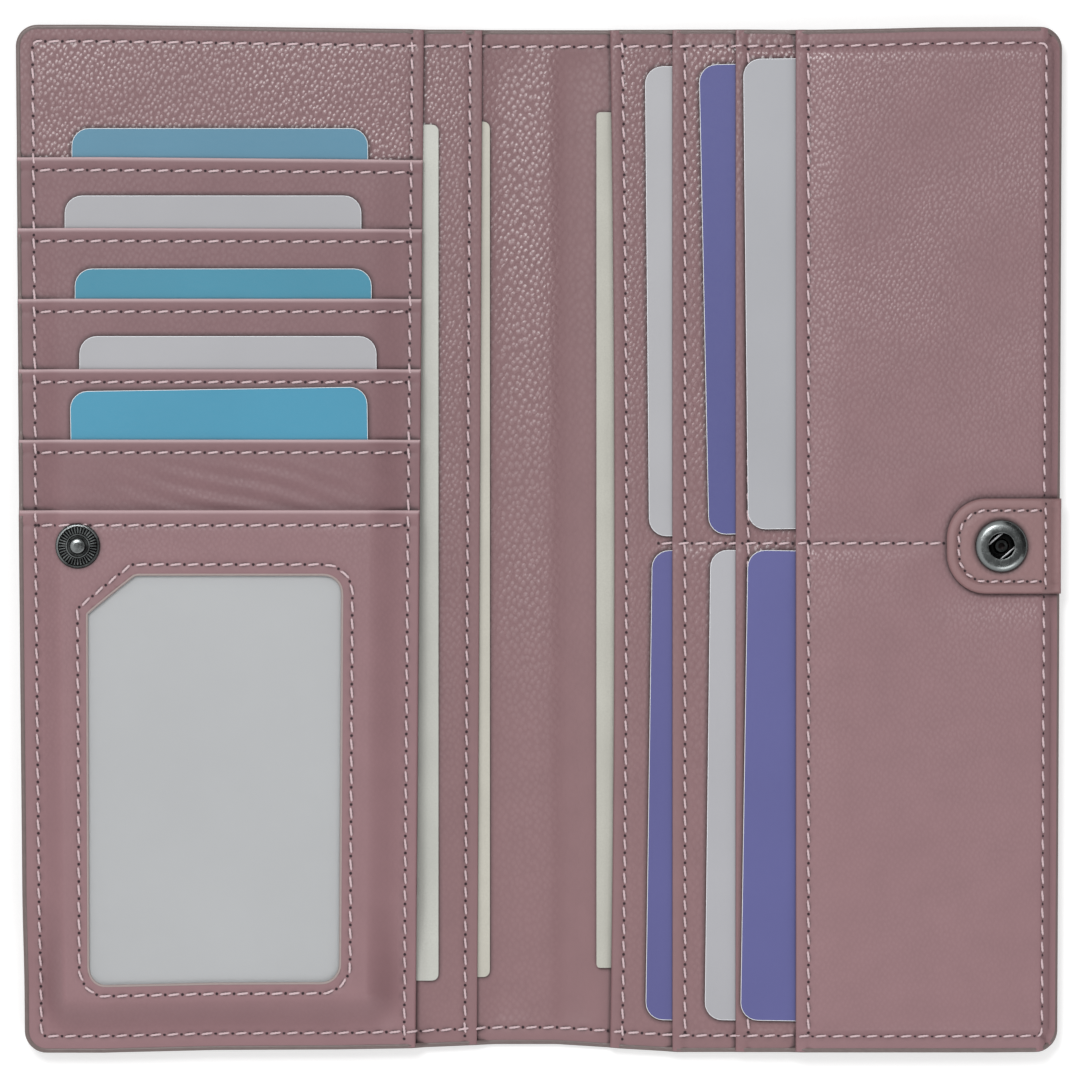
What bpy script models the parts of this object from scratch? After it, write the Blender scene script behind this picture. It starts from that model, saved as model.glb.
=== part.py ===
"""Long bifold card wallet in pebbled leather, lying open on its cover.

Two leaves hang on a soft spine. The left leaf carries a stair of card slots over a window
panel, the right leaf two rows of upright card slots and the closing tab. Metres, +Z up,
origin under the middle of the spine, +Y to the wallet's top edge.
"""

import math

import bmesh
import bpy
from mathutils import Matrix, Vector

mm = 0.001

# Cards of the ID-1 size, which the leaves are cut round
card_width = 53.98 * mm
card_length = 85.6 * mm
card_thickness = 0.76 * mm
card_corner = 3.18 * mm
pocket_side_room = 9.71 * mm
card_row_room = 7.7 * mm

# Spine between the two creases, and the leaves' rounded corners
spine_width = 18.1 * mm
spine_inset = 0.6 * mm
crease_gap = 0.3 * mm
crease_rise = 0.25 * mm
corner_radius = 3.8 * mm

# Thickness of the plies, and the air between two that lie on each other
cover_thickness = 0.9 * mm
lining_thickness = 0.4 * mm
divider_thickness = 0.5 * mm
card_panel_thickness = 0.5 * mm
right_panel_thickness = 0.75 * mm
slot_thickness = 0.35 * mm
textile_thickness = 0.15 * mm
front_thickness = 0.6 * mm
pane_thickness = 0.25 * mm
bill_thickness = 0.2 * mm
ply_gap = 0.05 * mm

# Free edges of the long plies, measured from the crease beside them
divider_setback = 1.95 * mm
card_panel_setback = 12.85 * mm
right_panel_setback = 3.95 * mm

# Left slots: leather left bare at the head, how the strips overlap, and how the cards sit
left_head_room = 23.9 * mm
left_slot_count = 5
strip_overlap = 3.0 * mm
left_card_shows = (5.5 * mm, 6.0 * mm, 5.5 * mm, 6.0 * mm, 9.2 * mm)
left_card_shifts = (0.3 * mm, -0.9 * mm, 1.0 * mm, 1.9 * mm, 0.9 * mm)
left_card_turns = (0.0, 0.0, 0.0, 0.0, 0.9)

# Right slots: the steps between their mouths, and the cards that stand in them
right_slot_steps = (11.5 * mm, 10.9 * mm)
front_pocket_room = 3.92 * mm
upper_card_shows = (4.6 * mm, 5.8 * mm, 9.1 * mm)
upper_card_lifts = (0.8 * mm, 1.4 * mm, 2.1 * mm)
upper_card_turns = (0.5, 1.2, 0.6)
lower_card_shows = (4.3 * mm, 5.1 * mm, 9.4 * mm)
lower_card_drops = (2.3 * mm, 2.2 * mm, 2.3 * mm)
lower_card_turns = (-0.8, -0.7, -0.9)

# Paper in the three long pockets: its room, how far its edge stands out, and its middle
bill_side_room = 7.4 * mm
bill_end_room = 15.3 * mm
bill_corner = 2.0 * mm
left_front_bill_show = 3.4 * mm
left_front_bill_middle = -2.4 * mm
left_back_bill_show = 1.85 * mm
left_back_bill_middle = -1.8 * mm
right_bill_show = 2.7 * mm
right_bill_middle = -0.1 * mm

# Pressed seams, and the slopes from them up to the flat that the cards fill
side_seam = 3.0 * mm
side_run = 5.3 * mm
hem_seam = 2.4 * mm
hem_run = 5.0 * mm
foot_seam = 2.4 * mm
foot_run = 8.0 * mm
head_seam = 1.6 * mm
head_run = 3.0 * mm
right_seam = 0.9 * mm
right_run = 2.5 * mm
landing_seam = 2.0 * mm
landing_run = 4.0 * mm
left_card_end_gap = 0.4 * mm
right_card_end_gap = 1.2 * mm
butt_gap = 0.3 * mm

# ID pocket, its window's borders and cut corner, and the clear pane behind it
id_foot_room = 10.8 * mm
id_card_sink = 2.2 * mm
window_left_border = 12.9 * mm
window_right_border = 14.0 * mm
window_top_border = 11.8 * mm
window_bottom_border = 12.4 * mm
window_corner = 2.0 * mm
window_chamfer_width = 9.0 * mm
window_chamfer_height = 7.0 * mm
pane_lap = 1.8 * mm

# Closing tab and the root that is sewn down at the wallet's edge
tab_length = 21.4 * mm
tab_half_height = 8.65 * mm
tab_half_end = 1.35 * mm
tab_thickness = 0.9 * mm
tab_lining_thickness = 0.7 * mm
tab_root_width = 4.1 * mm
tab_crease_gap = 0.3 * mm
tab_crease_rise = 0.05 * mm

# Snap fastener: stud on the left leaf, sprung socket on the tab
snap_inset = 11.5 * mm
stud_below_mouth = 6.5 * mm
snap_clearance = 0.3 * mm
stud_radius = 4.05 * mm
stud_height = 1.4 * mm
ridge_count = 36
ridge_inner = 2.3 * mm
ridge_outer = 3.45 * mm
ridge_width = 0.2 * mm
ridge_height = 0.16 * mm
stud_foot_radius = 3.0 * mm
stud_barrel_radius = 1.0 * mm
socket_radius = 4.75 * mm
socket_height = 1.3 * mm
socket_foot_radius = 4.0 * mm
socket_foot_thickness = 0.25 * mm
socket_barrel_radius = 1.1 * mm
socket_barrel_bore = 0.6 * mm
socket_barrel_stand = 0.15 * mm
socket_barrel_clearance = 0.325 * mm
spring_wire = 0.45 * mm
spring_clearance = 0.229 * mm
spring_end_clearance = 0.105 * mm
spring_turn = 40.0

# Profiles of the turned pieces as shares of their radius and height, from the top down
stud_neck_share = 0.32
stud_floor_share = 0.18
stud_profile_shares = (
    (0.0, 1.0), (0.17, 1.0), (0.27, 0.93), (stud_neck_share, 0.8), (stud_neck_share, 0.66),
    (0.26, 0.5), (0.26, 0.24), (0.46, 0.24), (0.49, 0.32), (0.54, 0.32), (0.57, stud_floor_share),
    (0.86, stud_floor_share), (0.89, 0.28), (0.96, 0.25), (1.0, 0.12), (1.0, 0.0), (0.0, 0.0),
)
socket_bore_share = (socket_barrel_radius + socket_barrel_clearance) / socket_radius
socket_groove_share = 0.88
socket_floor_share = 0.19
socket_lip_share = 0.76
socket_profile_shares = (
    (0.505, 1.0), (0.6, 1.0), (0.78, 0.97), (0.92, 0.8), (1.0, 0.5), (1.0, 0.0),
    (socket_bore_share, 0.0), (socket_bore_share, socket_floor_share),
    (socket_groove_share, socket_floor_share), (socket_groove_share, 0.66),
    (0.505, socket_lip_share),
)

# How finely round and sloped shapes are divided, and how cutters and welds overrun
arc_steps = 6
slope_steps = 5
turned_steps = 48
sharp_degrees = 35.0
cut_overrun = 1.0 * mm
weld_distance = 0.0005 * mm

# Outline of the open wallet
crease_x = spine_width / 2
leaf_edge = crease_x + crease_gap / 2
divider_edge = crease_x + divider_setback
card_panel_edge = crease_x + card_panel_setback
right_panel_edge = crease_x + right_panel_setback
half_width = card_panel_edge + card_width + 2 * pocket_side_room
half_height = card_length + card_row_room

# Mouths of the slots
id_mouth_height = id_foot_room + card_length + id_card_sink - half_height
left_first_mouth = half_height - left_head_room
left_slot_step = (left_first_mouth - id_mouth_height) / left_slot_count
front_mouth = half_width - front_pocket_room - card_width + upper_card_shows[-1]
middle_mouth = front_mouth - right_slot_steps[1]
right_mouths = (middle_mouth - right_slot_steps[0], middle_mouth, front_mouth)

# Paper, window, tab and snap, from the pieces that carry them
bill_width = half_width - card_panel_edge - bill_side_room
bill_length = 2 * (half_height - bill_end_room)
window_left = window_left_border - half_width
window_right = -card_panel_edge - window_right_border
window_top = id_mouth_height - window_top_border
window_bottom = window_bottom_border - half_height
tab_crease = half_width - tab_root_width
tab_reach = half_width - tab_length
tab_corner = tab_half_height - tab_half_end
snap_offset = half_width - snap_inset
snap_height = id_mouth_height - stud_below_mouth
spring_offset = stud_neck_share * stud_radius + spring_wire / 2 + spring_clearance
spring_end = socket_groove_share * socket_radius - spring_end_clearance
spring_half_run = spring_end - spring_wire / 2 - spring_offset

# Heights of the plies, from the table up
lining_low = cover_thickness + ply_gap
lining_top = lining_low + lining_thickness
crease_height = lining_top + crease_rise
left_back_bill_low = lining_top + ply_gap
right_bill_low = left_back_bill_low + bill_thickness + ply_gap
divider_low = right_bill_low + bill_thickness + ply_gap
divider_top = divider_low + divider_thickness
left_front_bill_low = divider_top + ply_gap
card_panel_low = left_front_bill_low + bill_thickness + ply_gap
card_panel_top = card_panel_low + card_panel_thickness
right_panel_low = divider_low
right_panel_top = right_panel_low + right_panel_thickness
slot_pitch = card_thickness + slot_thickness + 2 * ply_gap
pressed_pitch = 2 * slot_thickness + ply_gap

leather_colour = (0.275, 0.185, 0.195, 1.0)
edge_leather_colour = (0.24, 0.165, 0.17, 1.0)
textile_colour = (0.2, 0.14, 0.15, 1.0)
blue_colour = (0.11, 0.33, 0.46, 1.0)
grey_colour = (0.44, 0.44, 0.46, 1.0)
violet_colour = (0.13, 0.14, 0.33, 1.0)
paper_colour = (0.47, 0.46, 0.4, 1.0)
white_colour = (0.62, 0.63, 0.65, 1.0)
clear_colour = (0.8, 0.82, 0.84, 1.0)
metal_colour = (0.1, 0.1, 0.105, 1.0)
left_card_colours = (blue_colour, grey_colour, blue_colour, grey_colour, blue_colour)
upper_card_colours = (grey_colour, violet_colour, grey_colour)
lower_card_colours = (violet_colour, grey_colour, violet_colour)
leather_roughness = 0.45
textile_roughness = 0.9
plastic_roughness = 0.3
metal_roughness = 0.3
paper_roughness = 0.8
pane_roughness = 0.1
pane_clearness = 0.9


def clear_scene():
    for old in list(bpy.data.objects):
        bpy.data.objects.remove(old, do_unlink=True)


def new_collection(name, hidden=False):
    collection = bpy.data.collections.new(name)
    bpy.context.scene.collection.children.link(collection)
    collection.hide_render = hidden
    return collection


def add_pivot(name, place, parent=None):
    """An empty on a joint's axis, which carries the pieces that the joint moves."""
    pivot = bpy.data.objects.new(name, None)
    parts.objects.link(pivot)
    pivot.location = place
    bpy.context.view_layer.update()
    if parent:
        hang(pivot, parent)
    return pivot


def hang(obj, parent):
    obj.parent = parent
    obj.matrix_parent_inverse = parent.matrix_world.inverted()
    bpy.context.view_layer.update()


def give_material(obj, colour, roughness, metallic=0.0, clear=0.0):
    material = bpy.data.materials.new(obj.name)
    material.use_nodes = True
    shader = material.node_tree.nodes["Principled BSDF"]
    shader.inputs["Base Color"].default_value = colour
    shader.inputs["Roughness"].default_value = roughness
    shader.inputs["Metallic"].default_value = metallic
    shader.inputs["Transmission Weight"].default_value = clear
    obj.data.materials.append(material)


def add_leather(obj, colour=None):
    give_material(obj, colour or leather_colour, leather_roughness)


def add_textile(obj):
    give_material(obj, textile_colour, textile_roughness)


def add_plastic(obj, colour):
    give_material(obj, colour, plastic_roughness)


def add_metal(obj):
    give_material(obj, metal_colour, metal_roughness, 1.0)


def smooth_step(share):
    share = min(max(share, 0.0), 1.0)
    return share * share * (3.0 - 2.0 * share)


def climb(distance, seam, run):
    """0 on the pressed seam, 1 where the ply lies flat on the cards."""
    return smooth_step((distance - seam) / run)


def mix(low, high, share):
    return low + (high - low) * share


def slope_stations(edge, inward, seam, run):
    """Grid places from an edge over its seam and slope, with inward +1 or -1."""
    places = [edge]
    for step in range(slope_steps + 1):
        places.append(edge + inward * (seam + run * step / slope_steps))
    return places


def arc(centre, radius, start, end, steps=arc_steps):
    """Points of an arc, whose start and end are counted in quarter turns from +X."""
    found = []
    for step in range(steps + 1):
        angle = math.pi / 2 * mix(start, end, step / steps)
        found.append((centre[0] + radius * math.cos(angle), centre[1] + radius * math.sin(angle)))
    return found


def box_outline(low_x, low_y, high_x, high_y, radii):
    """A rectangle, anticlockwise from its low corner, each corner with its own radius."""
    corners = (
        (low_x, low_y, 1, 1), (high_x, low_y, -1, 1), (high_x, high_y, -1, -1), (low_x, high_y, 1, -1)
    )
    outline = []
    for turn, ((x, y, right, up), radius) in enumerate(zip(corners, radii)):
        if radius:
            centre = (x + right * radius, y + up * radius)
            outline += arc(centre, radius, turn + 2, turn + 3)
        else:
            outline.append((x, y))
    return outline


def chamfered_outline(grow):
    """The window's outline, with its cut corner, made larger by the named lap."""
    radius = window_corner + grow
    left, right = window_left - grow, window_right + grow
    top, bottom = window_top + grow, window_bottom - grow
    slant = math.atan2(window_chamfer_height, window_chamfer_width)
    head_slide = grow * math.tan(slant / 2)
    side_slide = grow * math.tan((math.pi / 2 - slant) / 2)
    outline = arc((left + radius, bottom + radius), radius, 2, 3)
    outline += arc((right - radius, bottom + radius), radius, 3, 4)
    outline += arc((right - radius, top - radius), radius, 0, 1)
    outline.append((window_left + window_chamfer_width - head_slide, top))
    outline.append((left, window_top - window_chamfer_height + side_slide))
    return outline


def flat_piece(name, outline, low, thickness, collection=None):
    """A plate cut to an outline, as a filled curve with half its thickness to each side."""
    curve = bpy.data.curves.new(name, "CURVE")
    curve.dimensions = "2D"
    curve.fill_mode = "BOTH"
    curve.extrude = thickness / 2
    spline = curve.splines.new("POLY")
    spline.points.add(len(outline) - 1)
    for point, (x, y) in zip(spline.points, outline):
        point.co = (x, y, 0.0, 1.0)
    spline.use_cyclic_u = True
    obj = bpy.data.objects.new(name, curve)
    (collection or parts).objects.link(obj)
    obj.location = (0.0, 0.0, low + thickness / 2)
    return obj


def as_mesh(obj):
    """The same piece as a mesh with its caps welded, so that it takes a Boolean."""
    bpy.context.view_layer.update()
    graph = bpy.context.evaluated_depsgraph_get()
    mesh = bpy.data.meshes.new_from_object(obj.evaluated_get(graph))
    body = bmesh.new()
    body.from_mesh(mesh)
    bmesh.ops.remove_doubles(body, verts=body.verts, dist=weld_distance)
    bmesh.ops.recalc_face_normals(body, faces=body.faces)
    body.to_mesh(mesh)
    body.free()
    name, place, homes = obj.name, obj.matrix_world.copy(), list(obj.users_collection)
    bpy.data.objects.remove(obj, do_unlink=True)
    solid = bpy.data.objects.new(name, mesh)
    solid.matrix_world = place
    homes[0].objects.link(solid)
    return solid


def as_cutter(obj):
    solid = as_mesh(obj) if obj.type == "CURVE" else obj
    solid.hide_render = True
    solid.display_type = "WIRE"
    return solid


def add_boolean(obj, other, operation):
    modifier = obj.modifiers.new(operation.title(), "BOOLEAN")
    modifier.operation = operation
    modifier.solver = "EXACT"
    modifier.object = other


def cut(obj, cutter):
    add_boolean(obj, cutter, "DIFFERENCE")


def turned_edge(thickness, fullness):
    """Thickness of a ply whose leather is folded double where it is sewn."""
    return thickness * (2.0 - fullness)


def draped_sheet(name, across, along, underside, thickness):
    """A ply on a grid of stations, whose underside and thickness are functions of the place."""
    body = bmesh.new()
    columns, rows = len(across) - 1, len(along) - 1
    bmesh.ops.create_grid(body, x_segments=columns, y_segments=rows, size=1.0)
    for vertex in body.verts:
        x = across[round((vertex.co.x + 1.0) / 2 * columns)]
        y = along[round((vertex.co.y + 1.0) / 2 * rows)]
        vertex.co = (x, y, underside(x, y))
    lifted = bmesh.ops.extrude_face_region(body, geom=body.faces[:])["geom"]
    for vertex in [item for item in lifted if isinstance(item, bmesh.types.BMVert)]:
        vertex.co.z += thickness(vertex.co.x, vertex.co.y)
    bmesh.ops.recalc_face_normals(body, faces=body.faces)
    mesh = bpy.data.meshes.new(name)
    body.to_mesh(mesh)
    body.free()
    obj = bpy.data.objects.new(name, mesh)
    parts.objects.link(obj)
    mesh.shade_smooth()
    mesh.set_sharp_from_angle(angle=math.radians(sharp_degrees))
    return obj


def turned_piece(name, profile, place, closed=False):
    """A profile of radius and height, from the top down its outer side, turned about +Z."""
    mesh = bpy.data.meshes.new(name)
    edges = [(index, index + 1) for index in range(len(profile) - 1)]
    if closed:
        edges.append((len(profile) - 1, 0))
    mesh.from_pydata([(radius, 0.0, height) for radius, height in profile], edges, [])
    obj = bpy.data.objects.new(name, mesh)
    parts.objects.link(obj)
    obj.location = place
    screw = obj.modifiers.new("Turn", "SCREW")
    screw.axis = "Z"
    screw.steps = screw.render_steps = turned_steps
    screw.use_merge_vertices = True
    screw.merge_threshold = weld_distance
    screw.use_smooth_shade = True
    return obj


def rod_cutter(name, radius, place, low, high):
    body = bmesh.new()
    bmesh.ops.create_cone(
        body, cap_ends=True, segments=turned_steps, radius1=radius, radius2=radius,
        depth=high - low,
    )
    mesh = bpy.data.meshes.new(name)
    body.to_mesh(mesh)
    body.free()
    obj = bpy.data.objects.new(name, mesh)
    cutters.objects.link(obj)
    obj.location = (place[0], place[1], (low + high) / 2)
    return as_cutter(obj)


def wallet_block(name):
    """The wallet's rounded outline, tall enough to trim any ply to it."""
    outline = box_outline(-half_width, -half_height, half_width, half_height, (corner_radius,) * 4)
    tall = id_panel_top() + 2 * cut_overrun
    return as_cutter(flat_piece(name, outline, -cut_overrun, tall, cutters))


def leaf_outline(side, inner):
    """A leaf's ply from its inner edge to the wallet's rounded outer edge; side is +1 or -1."""
    if side > 0:
        radii = (0.0, corner_radius, corner_radius, 0.0)
        return box_outline(inner, -half_height, half_width, half_height, radii)
    radii = (corner_radius, 0.0, 0.0, corner_radius)
    return box_outline(-half_width, -half_height, -inner, half_height, radii)


def build_shell():
    """Cover and lining of both leaves and of the spine between their creases."""
    layers = (
        ("cover", 0.0, cover_thickness, leather_colour),
        ("lining", lining_low, lining_thickness, edge_leather_colour),
    )
    spine_half = crease_x - crease_gap / 2
    spine_top = half_height - spine_inset
    for name, low, thickness, colour in layers:
        left = flat_piece(name + "_left", leaf_outline(-1, leaf_edge), low, thickness)
        right = flat_piece(name + "_right", leaf_outline(1, leaf_edge), low, thickness)
        outline = box_outline(-spine_half, -spine_top, spine_half, spine_top, (0.0,) * 4)
        spine = flat_piece(name + "_spine", outline, low, thickness)
        for piece, pivot in ((left, left_pivot), (right, None), (spine, spine_pivot)):
            add_leather(piece, colour)
            if pivot:
                hang(piece, pivot)


def left_fullness(x):
    outer = climb(x + half_width, side_seam, side_run)
    return outer * climb(-card_panel_edge - x, hem_seam, hem_run)


def left_stations():
    left = slope_stations(-half_width, 1, side_seam, side_run)
    right = slope_stations(-card_panel_edge, -1, hem_seam, hem_run)
    return left + right[::-1]


def left_mouth(index):
    return left_first_mouth - index * left_slot_step


def left_card_low(index):
    return card_panel_top + ply_gap + index * slot_pitch


def left_level(index, x):
    """Underside of the ply over the left slot of this index, from pressed seam to full slot."""
    pressed = card_panel_top + ply_gap + index * pressed_pitch
    full = left_card_low(index) + card_thickness + ply_gap
    return mix(pressed, full, left_fullness(x))


def left_card_foot(index):
    return left_mouth(index) + left_card_shows[index] - card_length


def build_left_pockets():
    divider_outline = leaf_outline(-1, divider_edge)
    divider = flat_piece("left_divider", divider_outline, divider_low, divider_thickness)
    panel_outline = leaf_outline(-1, card_panel_edge)
    panel = flat_piece("left_card_panel", panel_outline, card_panel_low, card_panel_thickness)
    for piece in (divider, panel):
        add_leather(piece)
        hang(piece, left_pivot)
    for index in range(left_slot_count):
        build_left_slot(index)


def build_left_slot(index):
    """A leather strip at the mouth, and the textile that wraps the card's foot below it."""
    top = left_mouth(index)
    bottom = left_mouth(index + 1) - strip_overlap
    strip = draped_sheet(
        f"left_slot_{index + 1}", left_stations(), [bottom, top],
        lambda x, y: left_level(index, x),
        lambda x, y: turned_edge(slot_thickness, left_fullness(x)),
    )
    add_leather(strip)
    hang(strip, left_pivot)
    flat_end = left_card_foot(index) - left_card_end_gap
    foot = flat_end - landing_run - landing_seam
    base = card_panel_top + ply_gap
    rows = slope_stations(foot, 1, landing_seam, landing_run) + [bottom - butt_gap]
    textile = draped_sheet(
        f"left_slot_lining_{index + 1}", left_stations(), rows,
        lambda x, y: mix(base, left_level(index, x), climb(y - foot, landing_seam, landing_run)),
        lambda x, y: textile_thickness,
    )
    add_textile(textile)
    hang(textile, left_pivot)


def id_card_low():
    return left_card_low(left_slot_count)


def pane_low():
    return id_card_low() + card_thickness + ply_gap


def id_panel_low():
    return pane_low() + pane_thickness + ply_gap


def id_panel_top():
    return id_panel_low() + front_thickness


def id_panel_fullness(x, y):
    return left_fullness(x) * climb(y + half_height, foot_seam, foot_run)


def last_lining_foot():
    return left_card_foot(left_slot_count - 1) - left_card_end_gap - landing_run


def id_panel_level(x, y):
    """Underside of the window panel: flat on the ID card, pressed down at three edges."""
    last_lining = last_lining_foot()
    at_foot = foot_seam + foot_run - half_height
    sunk = smooth_step((last_lining - y) / (last_lining - at_foot))
    pressed = card_panel_top + ply_gap + left_slot_count * pressed_pitch * (1.0 - sunk)
    return mix(pressed, id_panel_low(), id_panel_fullness(x, y))


def build_id_pocket():
    rows = slope_stations(-half_height, 1, foot_seam, foot_run)
    above = rows[-1]
    for step in range(1, slope_steps + 1):
        rows.append(mix(above, last_lining_foot(), step / slope_steps))
    rows.append(id_mouth_height)
    panel = draped_sheet(
        "id_panel", left_stations(), rows, id_panel_level,
        lambda x, y: turned_edge(front_thickness, id_panel_fullness(x, y)),
    )
    add_leather(panel)
    add_boolean(panel, wallet_block("id_panel_trim"), "INTERSECT")
    window_low = id_panel_low() - cut_overrun
    window_tall = front_thickness + 2 * cut_overrun
    window_high = window_low + window_tall
    window = flat_piece("window_cutter", chamfered_outline(0.0), window_low, window_tall, cutters)
    cut(panel, as_cutter(window))
    stud_place = (-snap_offset, snap_height)
    hole_radius = stud_barrel_radius + snap_clearance
    cut(panel, rod_cutter("stud_hole_cutter", hole_radius, stud_place, window_low, window_high))
    hang(panel, left_pivot)
    pane = flat_piece("id_window_pane", chamfered_outline(pane_lap), pane_low(), pane_thickness)
    give_material(pane, clear_colour, pane_roughness, 0.0, pane_clearness)
    hang(pane, left_pivot)


def right_fullness(y):
    head = climb(half_height - y, head_seam, head_run)
    return head * climb(half_height + y, head_seam, head_run)


def right_rows():
    foot = slope_stations(-half_height, 1, head_seam, head_run)
    head = slope_stations(half_height, -1, head_seam, head_run)
    return foot + head[::-1]


def right_card_low(index):
    return right_panel_top + ply_gap + index * slot_pitch


def right_level(index, y):
    pressed = right_panel_top + ply_gap + index * pressed_pitch
    full = right_card_low(index) + card_thickness + ply_gap
    return mix(pressed, full, right_fullness(y))


def front_panel_low():
    return right_card_low(len(right_slot_steps)) + card_thickness + ply_gap


def front_panel_top():
    return front_panel_low() + front_thickness


def front_panel_fullness(x, y):
    return right_fullness(y) * climb(half_width - x, right_seam, right_run)


def front_panel_level(x, y):
    pressed = right_panel_top + ply_gap
    inner = right_level(len(right_slot_steps), y)
    return mix(pressed, inner, climb(half_width - x, right_seam, right_run))


def front_panel_thickness(x, y):
    return turned_edge(front_thickness, front_panel_fullness(x, y))


def build_right_pockets():
    outline = leaf_outline(1, right_panel_edge)
    panel = flat_piece("right_panel", outline, right_panel_low, right_panel_thickness)
    add_leather(panel)
    for index in range(len(right_slot_steps)):
        build_right_slot(index)
    stations = [front_mouth] + slope_stations(half_width, -1, right_seam, right_run)[::-1]
    front = draped_sheet(
        "right_front_panel", stations, right_rows(), front_panel_level, front_panel_thickness
    )
    add_leather(front)
    add_boolean(front, wallet_block("front_panel_trim"), "INTERSECT")


def build_right_slot(index):
    mouth = right_mouths[index]
    far = right_mouths[index + 1] + strip_overlap
    strip = draped_sheet(
        f"right_slot_{index + 1}", [mouth, far], right_rows(),
        lambda x, y: right_level(index, y),
        lambda x, y: turned_edge(slot_thickness, right_fullness(y)),
    )
    add_leather(strip)
    reach = card_width - min(upper_card_shows[index], lower_card_shows[index])
    foot = mouth + reach + right_card_end_gap + landing_run + landing_seam
    base = right_panel_top + ply_gap
    stations = [far + butt_gap] + slope_stations(foot, -1, landing_seam, landing_run)[::-1]
    textile = draped_sheet(
        f"right_slot_lining_{index + 1}", stations, right_rows(),
        lambda x, y: mix(base, right_level(index, y), climb(foot - x, landing_seam, landing_run)),
        lambda x, y: textile_thickness,
    )
    add_textile(textile)


def add_card(name, middle, low, turn, colour, parent=None):
    half_w, half_l = card_width / 2, card_length / 2
    outline = box_outline(-half_w, -half_l, half_w, half_l, (card_corner,) * 4)
    card = flat_piece(name, outline, low, card_thickness)
    card.location.x, card.location.y = middle
    card.rotation_euler.z = math.radians(turn)
    bpy.context.view_layer.update()
    add_plastic(card, colour)
    if parent:
        hang(card, parent)


def build_left_cards():
    pocket_middle = -(half_width + card_panel_edge) / 2
    for index in range(left_slot_count):
        height = left_card_foot(index) + card_length / 2
        middle = (pocket_middle + left_card_shifts[index], height)
        add_card(
            f"left_card_{index + 1}", middle, left_card_low(index), left_card_turns[index],
            left_card_colours[index], left_pivot,
        )
    id_middle = (pocket_middle, id_foot_room - half_height + card_length / 2)
    add_card("id_card", id_middle, id_card_low(), 0.0, white_colour, left_pivot)


def build_right_cards(row, shows, middles, turns, colours):
    """One row of three cards that stand in the right slots, seen at their inner ends."""
    for index, mouth in enumerate(right_mouths):
        middle = (mouth - shows[index] + card_width / 2, middles[index])
        name = f"right_{row}_card_{index + 1}"
        add_card(name, middle, right_card_low(index), turns[index], colours[index])


def add_bill(name, edge, side, middle, low, parent=None):
    """A sheet of paper whose edge at x lies toward the spine, with the rest to its side."""
    half_l = bill_length / 2
    near, far = sorted((edge, edge + side * bill_width))
    outline = box_outline(near, middle - half_l, far, middle + half_l, (bill_corner,) * 4)
    bill = flat_piece(name, outline, low, bill_thickness)
    give_material(bill, paper_colour, paper_roughness)
    if parent:
        hang(bill, parent)


def build_bills():
    front_edge = -card_panel_edge + left_front_bill_show
    back_edge = -divider_edge + left_back_bill_show
    right_edge = right_panel_edge - right_bill_show
    add_bill(
        "left_front_bill", front_edge, -1, left_front_bill_middle, left_front_bill_low, left_pivot
    )
    add_bill(
        "left_back_bill", back_edge, -1, left_back_bill_middle, left_back_bill_low, left_pivot
    )
    add_bill("right_bill", right_edge, 1, right_bill_middle, right_bill_low)


def tab_lining_low():
    return front_panel_top() + ply_gap


def tab_low():
    return tab_lining_low() + tab_lining_thickness + ply_gap


def tab_top():
    return tab_low() + tab_thickness


def build_tab():
    """Two plies that hinge beside the root seam, and the root that is sewn to the edge."""
    end = tab_crease - tab_crease_gap / 2
    low, high = snap_height - tab_half_height, snap_height + tab_half_height
    outline = box_outline(tab_reach, low, end, high, (tab_corner, 0.0, 0.0, tab_corner))
    under = flat_piece("closure_tab_lining", outline, tab_lining_low(), tab_lining_thickness)
    lining = as_mesh(under)
    face = as_mesh(flat_piece("closure_tab", outline, tab_low(), tab_thickness))
    place = (snap_offset, snap_height)
    recess_low = tab_low() - 2 * ply_gap - socket_foot_thickness
    recess_radius = socket_foot_radius + snap_clearance
    cut(lining, rod_cutter("socket_recess_cutter", recess_radius, place, recess_low, tab_low()))
    hole_radius = socket_barrel_radius + snap_clearance
    hole_top = tab_top() + cut_overrun
    cut(face, rod_cutter("socket_hole_cutter", hole_radius, place, recess_low, hole_top))
    for piece in (lining, face):
        add_leather(piece)
        hang(piece, tab_pivot)
    start = tab_crease + tab_crease_gap / 2
    slope = slope_stations(half_width, -1, right_seam, right_run)[::-1]
    root = draped_sheet(
        "closure_tab_root", [start] + [x for x in slope if x > start], [low, high],
        lambda x, y: front_panel_level(x, 0.0) + front_panel_thickness(x, 0.0) + ply_gap,
        lambda x, y: tab_top() - tab_lining_low(),
    )
    add_leather(root)


def scaled(shares, radius, height):
    return [(radius * across, height * up) for across, up in shares]


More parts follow.
